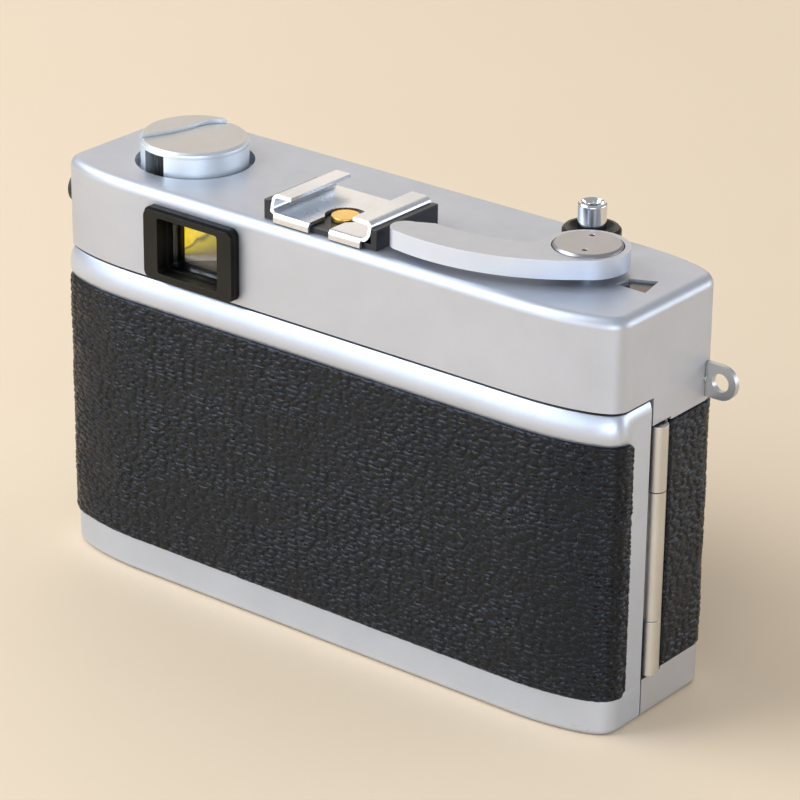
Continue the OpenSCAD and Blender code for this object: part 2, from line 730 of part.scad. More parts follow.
module shutter_collar() color("#18181a") difference() {
    union() {
        cyl_z(button_at, 3.5, [body_h - 1.6, body_h + 0.2]);
        cyl_z(button_at, collar_r, [body_h + 0.02, body_h + 2.0]);
        cone_z(button_at, collar_r, 4.3, [body_h + 2.0, body_h + 2.4]);
    }
    cyl_z(button_at, button_r + running_gap, cover_cut);
    cone_z(button_at, 2.5, 3.9, [body_h + 1.5, body_h + 2.5]);
}
module shutter_button() color("#d5d5d8") difference() {
    union() {
        cyl_z(button_at, button_r, [62.4, button_edge_z]);
        cone_z(button_at, button_r, button_r - 0.25, [button_edge_z, button_edge_z + 0.3]);
        cyl_z(button_at, 3.2, [62.0, 63.0]);
        cyl_z(button_at, 1.2, [53.2, 62.4], 32);
    }
    // cable-release socket
    cyl_z(button_at, cable_socket_r, [body_h + 1.6, 80], 48);
    cone_z(button_at, cable_socket_r, 1.9, [body_h + 5.4, body_h + 6.6], 48);
}
// Four separate turns
module button_spring() color("#8a8a8c") for (i = [0:3])
    translate([button_at[0], button_at[1], 55.4 + i * 1.6])
        rotate_extrude($fn = 32) translate([2.0, 0]) circle(r = 0.3, $fn = 16);

// ---------- rewind ----------
// Lift bar: ring round the rewind shaft, arm, and an upright whose tooth works the door catch
lift_bar_y = [-1.0, 1.8];
lift_bar_z = [56.4, 57.2];
module lift_bar() color("#9b9b9d") difference() {
    union() {
        cyl_z(rewind_at, 4.4, lift_bar_z);
        box([rewind_at[0], 54.2], lift_bar_y, lift_bar_z);
        box(catch_x, lift_bar_y, [22, lift_bar_z[1]]);
        box(catch_x, [1.7, 3.9], [30.2, 32.4]);
    }
    cyl_z(rewind_at, rewind_shaft_r + running_gap, [50, 60]);
}
module rewind_shaft() color("#b5b5b6") union() {
    cyl_z(rewind_at, rewind_shaft_r, [47.4, recess_z + 0.2]);
    // collars above and below the lift bar
    cyl_z(rewind_at, 3.4, [57.25, 58.0]);
    cyl_z(rewind_at, 3.4, [55.6, 56.35]);
    // fork that turns the cassette spool
    box(span(rewind_at[0], 2.0), span(rewind_at[1], 0.6), [44.8, 47.5]);
}

// The knob carries a fixed segment, and a lower seat on which the folded crank lies flush.
// in_knob(): +X points to the crank grip, +Y to the crank side.
crank_dir = 81;
seat_z = body_h + 3.0;
crank_top = seat_z + 1.0;
knob_top = body_h + 4.6;
crank_r = knob_r - 0.02;
grip_at = [6.8, 0.1, 68.5];
// Split line of knob and crank: [x, y, share of the root relief]
split_line = [
    [12, -6.4, 0], [6.5, -4.7, 0], [3.4, -3.75, 0], [0, -3.25, 0], [-2.5, -3.15, 0],
    [-5.2, -2.8, 0.6], [-6.6, -2.0, 1], [-7.4, -1.2, 1], [-12, -1.2, 1],
];

module in_knob() translate([rewind_at[0], rewind_at[1], 0]) rotate([0, 0, crank_dir]) children();
// Side of the split line on which the crank lies
module crank_side(gap, root = 0)
    in_knob() translate([0, 0, 60]) linear_extrude(30) polygon(concat(
        [for (point = split_line) [point[0], point[1] + gap - root * point[2]]],
        [[-12, 12], [12, 12]]));
// Rod on the pivot axis of the crank, from y towards +Y
module crank_axle(r, y, length)
    translate([-8.2, y, seat_z + 0.5]) rotate([-90, 0, 0])
        cylinder(r = r, h = length, $fn = 24);
module knob_pivot() crank_axle(0.28, -3.2, 6.0);

module rewind_knob() color("#c8c6c4") difference() {
    union() {
        cyl_z(rewind_at, knob_r, [recess_z + 0.2, seat_z - 0.02]);
        difference() {
            union() {
                cyl_z(rewind_at, knob_r, [seat_z - 0.1, knob_top - 0.5]);
                cone_z(rewind_at, knob_r, knob_r - 0.5, [knob_top - 0.51, knob_top]);
            }
            crank_side(0, 0.75);
        }
        in_knob() knob_pivot();
    }
    // bay for the grip
    in_knob() box([4.7, 12], [-2.25, 2.4], [68.3, 72.9]);
    // bay that the crank's root swings through
    in_knob() difference() {
        box([-9.6, -7.1], [-1.9, 4.4], [seat_z - 0.5, seat_z + 0.4]);
        knob_pivot();
    }
}
module rewind_crank() color("#cbc9c6") union() {
    difference() {
        intersection() {
            crank_side(0.1);
            union() {
                cyl_z(rewind_at, crank_r, [seat_z, crank_top - 0.4]);
                cone_z(rewind_at, crank_r, knob_r - 0.45, [crank_top - 0.41, crank_top]);
            }
        }
        in_knob() crank_axle(0.34, -5, 12);
    }
    // stud of the grip
    in_knob() translate(grip_at) cylinder(r = 0.6, h = seat_z - grip_at[2] + 0.1, $fn = 24);
}
module crank_grip() color("#17171a") in_knob() translate(grip_at) difference() {
    cylinder(r = 1.55, h = seat_z - grip_at[2] - 0.1, $fn = 32);
    // flutes
    for (i = [0:11])
        rotate([0, 0, i * 30]) translate([1.6, 0, -1]) cylinder(r = 0.2, h = 7, $fn = 16);
    translate([0, 0, -1]) cylinder(r = 0.66, h = 7, $fn = 32);
}

// ---------- lens ----------
face_y = -half_d;                   // body face
cell_y = face_y - lens_reach;       // lens front
cell_r = 24.8;
sleeve_r = 20.45;                   // outside of the barrel
ring_bore_r = 20.55;                // bore of the aperture and focus rings
aperture_r = 23.9;
front_element_r = 10.5;
rear_element_r = 7.3;
meter_at = [0, lens_z + 16.1];
blade_pivot_drop = 14;              // below the lens axis
blade_h = 0.22;

module lens_mount_ring() color("#c9c9cb") lens_turn([
    [20.5, 0.01], [24.5, 0.01], [24.6, 0.2], [24.6, 1.6], [24.0, 2.4], [20.5, 2.4]]);
module lens_barrel() color("#1a1a1c") lens_turn([
    [18.4, -5.5], [19.25, -5.5], [19.25, -0.8], [sleeve_r, -0.8], [sleeve_r, 12.6],
    [18.4, 12.6]]);
module aperture_ring() color("#b9b9bc") difference() {
    lens_turn([
        [ring_bore_r, 2.5], [23.4, 2.5], [23.4, 3.8], [aperture_r, 4.0],
        [aperture_r, 6.0], [23.4, 6.2], [ring_bore_r, 6.2]]);
    // knurl
    for (i = [0:47])
        translate([0, 0, lens_z]) rotate([0, i * 360 / 48, 0])
            translate([aperture_r, face_y - 4.35, 0]) rotate([90, 0, 0])
                cylinder(r = 0.45, h = 1.3, $fn = 4);
}
module focus_ring() color("#1d1d1f") union() {
    lens_turn([
        [ring_bore_r, 6.3], [24.2, 6.3], [24.6, 6.7], [24.6, 11.6], [24.2, 12.0],
        [ring_bore_r, 12.0]]);
    // focusing lever, low on the -X side of the ring
    translate([0, 0, lens_z]) rotate([0, 160, 0])
        translate([24.2, face_y - 11.0, -2.6]) cube([3.4, 3.2, 5.2]);
}
module lens_cell() color("#1b1b1d") difference() {
    lens_turn([
        [9.6, -1.5], [18.34, -1.5], [18.34, 12.75], [cell_r, 12.75],
        [cell_r, lens_reach - 0.6], [24.4, lens_reach],
        [filter_r + 0.3, lens_reach], [filter_r, lens_reach - 0.3],
        [filter_r, lens_reach - 3.3], [21.5, lens_reach - 3.3], [20.6, lens_reach - 4.1],
        [11.6, lens_reach - 4.9], [10.6, lens_reach - 5.3], [10.6, lens_reach - 8.6],
        [9.6, lens_reach - 8.6]]);
    cyl_y(meter_at, 2.42, [cell_y + 3.0, cell_y + 5.7], 48);
}
// Convex to the front
module front_element() color([0.5, 0.55, 0.75, 0.5]) lens_turn(concat(
    [[0, lens_reach - 8.4], [front_element_r, lens_reach - 8.4]],
    [for (i = [0:8]) let (r = front_element_r * (1 - i / 8))
        [r, lens_reach - 5.9 + 1.5 * (1 - pow(r / front_element_r, 2))]]));
module meter_window() color([0.7, 0.75, 0.7, 0.6])
    cyl_y(meter_at, 2.4, [cell_y + 4.55, cell_y + 5.6], 48);
// Convex to the rear
module rear_element() color([0.5, 0.55, 0.75, 0.5]) lens_turn(concat(
    [[0, -9.0]],
    [for (i = [0:6]) let (r = rear_element_r * i / 6)
        [r, -9.0 + 1.0 * pow(r / rear_element_r, 2)]],
    [[rear_element_r, -5.7], [0, -5.7]]));
module shutter_plate() color("#303034") union() {
    lens_turn([
        [7.4, -9.4], [8.3, -9.4], [8.3, -6.7], [19.2, -6.7], [19.2, -5.6], [7.4, -5.6]]);
    // common pivot of the two blades
    cyl_y([0, lens_z - blade_pivot_drop], 0.7, [face_y + 4.3, face_y + 5.7], 24);
}
// Each blade covers its side of the opening and overlaps the other at the middle.
module shutter_blade(side, y) difference() {
    translate([0, y + blade_h, lens_z]) rotate([90, 0, 0]) mirror([side > 0 ? 0 : 1, 0, 0])
        union() {
            intersection() {
                cylinder(r = 8.4, h = blade_h, $fn = 64);
                translate([-1.0, -10, 0]) cube([12, 20, blade_h]);
            }
            linear_extrude(blade_h)
                polygon([[-0.9, -7.0], [5.4, -6.2], [1.6, -14.4], [-1.6, -14.4]]);
            translate([0, -blade_pivot_drop, 0]) cylinder(r = 1.7, h = blade_h, $fn = 32);
        }
    cyl_y([0, lens_z - blade_pivot_drop], 0.76, [-30, 0], 24);
}
module shutter_blade_right() color("#242428") shutter_blade(1, face_y + 4.9);
module shutter_blade_left() color("#242428") shutter_blade(-1, face_y + 4.6);
module self_timer_lever() color("#c4c4c6") union() {
    cyl_y(timer_at, 3.4, [-18.0, -16.3], 48);
    cyl_y(timer_at, timer_shaft_r, [-16.4, -12.4], 32);
    plate_y(span(timer_at[0], 1.6), [20.5, timer_at[1]], 1.5, [-18.0, -16.8]);
}

body_casting();
top_cover();
base_cover();
front_leather();
back_door();
door_leather();
hinge_body_leaf();
hinge_door_leaf();
hinge_pin();
pressure_plate();
pressure_spring();
light_seals();
door_catch();
tripod_bush();
base_screws();
battery_cover();
rewind_release();
strap_eyelets();
sync_socket();
shoe_base();
shoe_rails();
shoe_contact();
eyepiece_frame();
eyepiece_glass();
finder_tube();
beam_splitter();
finder_bezel();
finder_window();
frame_line_window();
rangefinder_window();
rangefinder_mirror();
advance_lever();
lever_cap();
lever_shaft();
lever_spring();
idler_gear();
sprocket_shaft();
take_up_spool();
counter_dial();
counter_window();
shutter_button();
shutter_collar();
button_spring();
lift_bar();
rewind_shaft();
rewind_knob();
rewind_crank();
crank_grip();
lens_mount_ring();
lens_barrel();
aperture_ring();
focus_ring();
lens_cell();
front_element();
rear_element();
meter_window();
shutter_plate();
shutter_blade_left();
shutter_blade_right();
self_timer_lever();
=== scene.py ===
import json
import math
import bpy
import bmesh
import numpy as np
from mathutils import Matrix, Vector


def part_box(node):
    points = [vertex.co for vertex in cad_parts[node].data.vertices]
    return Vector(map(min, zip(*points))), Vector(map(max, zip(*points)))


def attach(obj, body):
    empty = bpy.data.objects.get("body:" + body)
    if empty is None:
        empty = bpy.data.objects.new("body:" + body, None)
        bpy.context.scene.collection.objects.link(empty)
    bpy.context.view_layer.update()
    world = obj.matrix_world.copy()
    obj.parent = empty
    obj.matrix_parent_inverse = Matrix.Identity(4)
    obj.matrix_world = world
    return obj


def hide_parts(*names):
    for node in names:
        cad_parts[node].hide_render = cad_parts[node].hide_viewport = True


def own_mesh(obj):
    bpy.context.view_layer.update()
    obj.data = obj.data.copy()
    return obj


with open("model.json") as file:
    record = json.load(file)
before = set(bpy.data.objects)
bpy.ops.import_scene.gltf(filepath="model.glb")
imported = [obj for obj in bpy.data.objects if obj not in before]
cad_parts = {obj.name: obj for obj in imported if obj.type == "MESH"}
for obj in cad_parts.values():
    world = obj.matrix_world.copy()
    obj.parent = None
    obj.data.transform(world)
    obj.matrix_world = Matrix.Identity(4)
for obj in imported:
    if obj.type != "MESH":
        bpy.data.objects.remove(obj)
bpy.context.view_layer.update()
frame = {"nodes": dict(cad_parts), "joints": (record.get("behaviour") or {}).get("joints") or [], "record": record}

MM = 0.001
NODES = frame["nodes"]
JOINT = {j["name"]: j for j in frame["joints"]}
SCENE = bpy.context.scene


def bx(node):
    lo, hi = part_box(node)
    return np.array(lo) * 1000, np.array(hi) * 1000


# ------------------------------------------------------------------ sizes, all in mm and from the frame
TC0, TC1 = bx("top_cover")
HALF_W, HALF_D, BODY_H = TC1[0], TC1[1], TC1[2]
FRONT_SEAM = TC0[2]
BD0, BD1 = bx("back_door")
DOOR_Y, DOOR_TOP = BD0[1], BD1[2]
BC0, BC1 = bx("base_cover")
DL0, DL1 = bx("door_leather")
FL0, FL1 = bx("front_leather")
LV = np.array(JOINT["advance"]["pos_m"][:2]) * 1000
RW = np.array(JOINT["rewind_turn"]["pos_m"][:2]) * 1000
_e = [m for m in frame["record"]["mounts"] if m["name"] == "strap_eye_plus_x"][0]["pos_m"]
EYE = np.array(_e) * 1000
_s0, _s1 = bx("shutter_collar")
SB = (_s0[:2] + _s1[:2]) / 2
LENS_Z = JOINT["focus_turn"]["pos_m"][2] * 1000
CORNER_X, CORNER_Y, TOP_R = 17.5, 5.1, 1.8
REAR_SEAM = DOOR_TOP + 0.15
STEP_Y = BC1[1]


# ------------------------------------------------------------------ materials
class Surface:
    """A Principled material with layered procedural detail, in frame coordinates (metres)."""

    def __init__(self, name):
        self.m = bpy.data.materials.new(name)
        self.m.use_nodes = True
        self.t = self.m.node_tree
        self.b = self.t.nodes["Principled BSDF"]
        self.co = self.add("ShaderNodeTexCoord").outputs["Object"]

    def add(self, kind, **inputs):
        n = self.t.nodes.new(kind)
        for k, v in inputs.items():
            key = k.replace("_", " ")
            if key in n.inputs:
                if isinstance(v, bpy.types.NodeSocket):
                    self.t.links.new(v, n.inputs[key])
                else:
                    n.inputs[key].default_value = v
            else:
                setattr(n, k, v)
        return n

    def link(self, a, b):
        self.t.links.new(a, b)

    def noise(self, size_mm, detail=3.0, rough=0.55, stretch=(1, 1, 1), seed=0.0, distortion=0.0):
        mp = self.add("ShaderNodeMapping", Vector=self.co)
        mp.inputs["Scale"].default_value = [1000 / size_mm / s for s in stretch]
        mp.inputs["Location"].default_value = (seed, seed * 1.7, seed * 0.3)
        n = self.add("ShaderNodeTexNoise", Vector=mp.outputs["Vector"], Scale=1.0, Detail=detail, Roughness=rough, Distortion=distortion)
        return n.outputs["Fac"]

    def voronoi(self, size_mm, stretch=(1, 1, 1), feature="F1"):
        mp = self.add("ShaderNodeMapping", Vector=self.co)
        mp.inputs["Scale"].default_value = [1000 / size_mm / s for s in stretch]
        n = self.t.nodes.new("ShaderNodeTexVoronoi")
        n.feature = feature
        n.inputs["Scale"].default_value = 1.0
        self.link(mp.outputs["Vector"], n.inputs["Vector"])
        return n.outputs["Distance"]

    def math(self, op, a, b=0.0, clamp=False):
        n = self.t.nodes.new("ShaderNodeMath")
        n.operation = op
        n.use_clamp = clamp
        for i, v in enumerate((a, b)):
            if isinstance(v, bpy.types.NodeSocket):
                self.link(v, n.inputs[i])
            else:
                n.inputs[i].default_value = v
        return n.outputs[0]

    def range(self, v, a, b, c=0.0, d=1.0):
        n = self.add("ShaderNodeMapRange")
        n.clamp = True
        self.link(v, n.inputs["Value"])
        for k, x in (("From Min", a), ("From Max", b), ("To Min", c), ("To Max", d)):
            n.inputs[k].default_value = x
        return n.outputs["Result"]

    def mix(self, fac, a, b):
        n = self.t.nodes.new("ShaderNodeMix")
        n.data_type = "RGBA"
        for key, v in ((0, fac), (6, a), (7, b)):
            if isinstance(v, bpy.types.NodeSocket):
                self.link(v, n.inputs[key])
            elif key == 0:
                n.inputs[0].default_value = v
            else:
                n.inputs[key].default_value = (*v[:3], 1)
        return n.outputs[2]

    def edges(self, radius_mm=0.3, lo=0.004, hi=0.12):
        """Mask of the sharp edges: where a rounded normal leaves the true one."""
        bv = self.add("ShaderNodeBevel", samples=4)
        bv.inputs["Radius"].default_value = radius_mm * MM
        geo = self.add("ShaderNodeNewGeometry")
        d = self.t.nodes.new("ShaderNodeVectorMath")
        d.operation = "DOT_PRODUCT"
        self.link(bv.outputs["Normal"], d.inputs[0])
        self.link(geo.outputs["Normal"], d.inputs[1])
        return self.range(self.math("SUBTRACT", 1.0, d.outputs["Value"]), lo, hi)

    def bump(self, height, dist_mm, strength=1.0, normal=None):
        n = self.add("ShaderNodeBump")
        n.inputs["Strength"].default_value = strength
        n.inputs["Distance"].default_value = dist_mm * MM
        self.link(height, n.inputs["Height"])
        if normal is not None:
            self.link(normal, n.inputs["Normal"])
        return n.outputs["Normal"]

    def set(self, **kw):
        for k, v in kw.items():
            key = k.replace("_", " ")
            if isinstance(v, bpy.types.NodeSocket):
                self.link(v, self.b.inputs[key])
            else:
                self.b.inputs[key].default_value = (*v, 1) if isinstance(v, tuple) and len(v) == 3 else v
        return self


def metal(name, base, rough, grain_mm=0.22, stretch=(1, 1, 1), bump_um=6.0, var=0.05, wear=0.5, wear_col=None, edge_mm=0.3, aniso=0.0, metallic=1.0, scratch=0.0, occlusion_darkening=0.0, top=None, scuff=None):
    s = Surface(name)
    fine = s.noise(grain_mm, 4, 0.62, stretch)
    large = s.noise(9.0, 3, 0.55, seed=3.1)
    smudge = s.noise(3.2, 4, 0.6, seed=8.4, distortion=0.8)
    dark = tuple(c * (1 - var * 1.6) for c in base)
    light = tuple(min(1, c * (1 + var)) for c in base)
    col = s.mix(s.range(large, 0.3, 0.7), dark, light)
    col = s.mix(s.range(fine, 0.35, 0.65, 0.0, 0.35), col, tuple(c * (1 - var * 2) for c in base))
    r = s.math("ADD", s.range(smudge, 0.3, 0.7, rough - 0.035, rough + 0.035), s.range(fine, 0.3, 0.7, -0.03, 0.03))
    # painted light: faces turned up are painted in the top colour and the sides keep the base colour, standing in for
    # how differently the sky lights the tops and the sides
    if top:
        nz = s.add("ShaderNodeSeparateXYZ", Vector=s.add("ShaderNodeNewGeometry").outputs["Normal"]).outputs["Z"]
        col = s.mix(s.range(nz, 0.55, 0.95), col, s.mix(s.range(fine, 0.35, 0.65, 0.0, 0.5), top, tuple(c * 0.94 for c in top)))
    if scuff:
        v = s.t.nodes.new("ShaderNodeVectorMath")
        v.operation = "DISTANCE"
        s.link(s.co, v.inputs[0])
        v.inputs[1].default_value = [c * MM for c in scuff]
        near = s.range(v.outputs["Value"], 1.5 * MM, 9.0 * MM, 1.0, 0.0)
        nick = s.range(s.math("ADD", s.noise(0.9, 5, 0.7, (1.6, 1.6, 1), seed=23.0), s.math("MULTIPLY", near, 0.07)), 0.69, 0.74)
        nick = s.math("MULTIPLY", nick, near, clamp=True)
        col = s.mix(s.math("MULTIPLY", nick, 0.6), col, (0.20, 0.18, 0.16))
        r = s.math("ADD", r, s.math("MULTIPLY", nick, 0.25))
    if wear:
        e = s.edges(edge_mm)
        e = s.math("MULTIPLY", e, s.range(s.noise(1.1, 4, 0.65, seed=5.0), 0.35, 0.62, 0.15, 1.0))
        e = s.math("MULTIPLY", e, wear)
        col = s.mix(e, col, wear_col or tuple(min(1, c * 1.18) for c in base))
        r = s.math("SUBTRACT", r, s.math("MULTIPLY", e, rough * 0.45))
    # darker in narrow hollows and seams: colour is pulled towards dark brown where ambient occlusion within 0.8 mm
    # finds them, broken up by noise
    if occlusion_darkening:
        ao = s.add("ShaderNodeAmbientOcclusion", samples=4)
        ao.inputs["Distance"].default_value = 0.8 * MM
        g = s.math("MULTIPLY", s.range(ao.outputs["AO"], 0.35, 0.85, 1.0, 0.0), occlusion_darkening)
        g = s.math("MULTIPLY", g, s.range(s.noise(0.7, 4, 0.6, seed=2.2), 0.3, 0.7, 0.3, 1.0))
        col = s.mix(g, col, (0.09, 0.075, 0.06))
    h = fine
    if scratch:
        sc = s.noise(0.5, 2, 0.5, (14, 0.35, 0.35), seed=11.0)
        h = s.math("ADD", fine, s.math("MULTIPLY", s.range(sc, 0.66, 0.74), scratch))
    n = s.bump(h, bump_um / 1000.0, 0.9)
    s.set(Base_Color=col, Metallic=metallic, Roughness=r, Normal=n)
    if aniso:
        s.set(Anisotropic=aniso)
    return s.m


def coat(name, base, rough, grain_mm=0.25, bump_um=10.0, var=0.25, wear=0.5, wear_col=(0.16, 0.16, 0.17), spec=0.5, edge_mm=0.25, painted_shade_mm=0.0):
    """Black paint or moulded plastic."""
    s = Surface(name)
    fine = s.noise(grain_mm, 4, 0.6)
    large = s.noise(6.0, 3, 0.5, seed=4.0)
    col = s.mix(s.range(large, 0.3, 0.7), tuple(c * (1 - var) for c in base), tuple(c * (1 + var) for c in base))
    r = s.math("ADD", s.range(s.noise(2.4, 4, 0.6, seed=9.0), 0.3, 0.7, rough - 0.06, rough + 0.07), s.range(fine, 0.3, 0.7, -0.04, 0.04))
    if wear:
        e = s.math("MULTIPLY", s.edges(edge_mm), s.range(s.noise(0.8, 4, 0.65, seed=6.0), 0.42, 0.64, 0.05, 1.0))
        e = s.math("MULTIPLY", e, wear)
        col = s.mix(e, col, wear_col)
    n = s.bump(fine, bump_um / 1000.0, 0.9)
    # painted shade: surfaces deep in occluded hollows, such as the eyepiece tube, are painted near-black and lose their
    # specular, standing in for the shade that falls there
    if painted_shade_mm:
        ao = s.add("ShaderNodeAmbientOcclusion", samples=4)
        ao.inputs["Distance"].default_value = painted_shade_mm * MM
        k = s.range(ao.outputs["AO"], 0.40, 0.85)
        col = s.mix(k, (0.001, 0.001, 0.001), col)
        spec = s.math("MULTIPLY", k, spec)
    s.set(Base_Color=col, Roughness=r, Normal=n, Specular_IOR_Level=spec)
    return s.m


def leather(name):
    s = Surface(name)
    cell = s.voronoi(0.42, (1.9, 1.9, 0.8), "DISTANCE_TO_EDGE")
    fine = s.noise(0.16, 4, 0.65)
    large = s.noise(7.0, 3, 0.6, seed=1.0)
    base = s.mix(s.range(large, 0.3, 0.7), (0.0030, 0.0034, 0.0044), (0.0058, 0.0058, 0.0064))
    base = s.mix(s.range(fine, 0.45, 0.75, 0.0, 0.5), base, (0.013, 0.0122, 0.0115))
    # the cut edge is brown and slightly frayed
    e = s.math("MULTIPLY", s.edges(0.5, 0.05, 0.4), s.range(s.noise(0.5, 3, 0.6, seed=2.0), 0.35, 0.6))
    base = s.mix(s.math("MULTIPLY", e, 0.7), base, (0.085, 0.052, 0.028))
    r = s.math("ADD", s.range(s.noise(1.3, 4, 0.6, seed=7.0), 0.3, 0.7, 0.15, 0.27), s.range(fine, 0.3, 0.7, -0.03, 0.07))
    h = s.math("ADD", s.range(cell, 0.0, 0.16, 0.0, 1.0), s.math("MULTIPLY", fine, 0.6))
    # painted reflection: the bluish specular tint stands in for bluish light in the leather's sheen
    s.set(Base_Color=base, Roughness=r, Normal=s.bump(h, 0.018, 0.8), Specular_IOR_Level=0.30, Specular_Tint=(0.76, 0.86, 1.0))
    return s.m


def foam(name):
    s = Surface(name)
    v = s.voronoi(0.35)
    s.set(Base_Color=s.mix(v, (0.006, 0.006, 0.006), (0.03, 0.03, 0.032)), Roughness=0.97, Normal=s.bump(v, 0.12, 1.0))
    return s.m


def glass(name, tint, rough=0.02, coat_tint=None, alpha_mix=None, trans=1.0, ior=1.5):
    s = Surface(name)
    dust = s.range(s.noise(0.35, 4, 0.7, seed=3.0), 0.62, 0.8, 0.0, 0.12)
    smear = s.range(s.noise(4.0, 4, 0.6, seed=5.0, distortion=1.2), 0.35, 0.7, rough, rough + 0.05)
    s.set(Base_Color=s.mix(dust, tint, (0.75, 0.74, 0.7)), Roughness=smear, Transmission_Weight=trans, IOR=ior)
    if coat_tint:
        fr = s.add("ShaderNodeLayerWeight", Blend=0.35).outputs["Facing"]
        s.set(Coat_Weight=1.0, Coat_Roughness=0.015, Coat_Tint=coat_tint)
        s.set(Specular_Tint=s.mix(fr, coat_tint, (1.0, 0.75, 0.55)))
    s.set(Normal=s.bump(s.noise(0.5, 2, 0.5), 0.0008, 0.5))
    return s.m


def amber(name):
    """Half-silvered plate of the rangefinder, with painted light: amber fans of window light and dark bands are painted
    on it by a colour ramp and made to glow by emission.
    """
    s = Surface(name)
    sep = s.add("ShaderNodeSeparateXYZ", Vector=s.co)
    lo, hi = bx("beam_splitter")
    u = s.range(sep.outputs["X"], hi[0] * MM, (hi[0] - 3.9) * MM)
    v = s.range(sep.outputs["Z"], lo[2] * MM, (lo[2] + 5.2) * MM)
    wob = s.math("MULTIPLY", s.math("SUBTRACT", s.noise(1.6, 3, 0.5), 0.5), 0.35)
    ang = s.math("ARCTAN2", s.math("SUBTRACT", v, 0.22), s.math("ADD", u, 0.12))
    ang = s.math("ADD", ang, wob)
    fac = s.range(ang, -0.74, 1.32)
    # painted light: this ramp paints the amber fans of window light and the dark bands of shade across the plate
    ramp = s.t.nodes.new("ShaderNodeValToRGB")
    s.link(fac, ramp.inputs["Fac"])
    el = ramp.color_ramp.elements
    el[0].position, el[0].color = 0.0, (0.012, 0.014, 0.012, 1)
    el[1].position, el[1].color = 1.0, (0.86, 0.58, 0.0, 1)
    for pos, c in ((0.16, (0.05, 0.05, 0.045)), (0.27, (0.26, 0.24, 0.22)), (0.38, (0.16, 0.11, 0.035)), (0.47, (0.33, 0.26, 0.01)), (0.58, (0.46, 0.36, 0.005)), (0.66, (0.10, 0.075, 0.02)), (0.72, (0.78, 0.53, 0.0))):
        e = el.new(pos)
        e.color = (*c, 1)
    painted_glow_strength = s.range(s.noise(0.9, 4, 0.6, seed=2.0), 0.3, 0.7, 0.75, 1.0)
    # painted light: the plate glows by emission in the painted fan colours, though it is no lamp
    s.set(Base_Color=s.mix(0.5, ramp.outputs["Color"], (0.10, 0.07, 0.01)), Metallic=0.3, Roughness=s.range(s.noise(0.5, 3, 0.5), 0.3, 0.7, 0.10, 0.2),
          Emission_Color=ramp.outputs["Color"], Emission_Strength=painted_glow_strength, Normal=s.bump(s.noise(0.8, 2, 0.5), 0.001, 0.5))
    return s.m


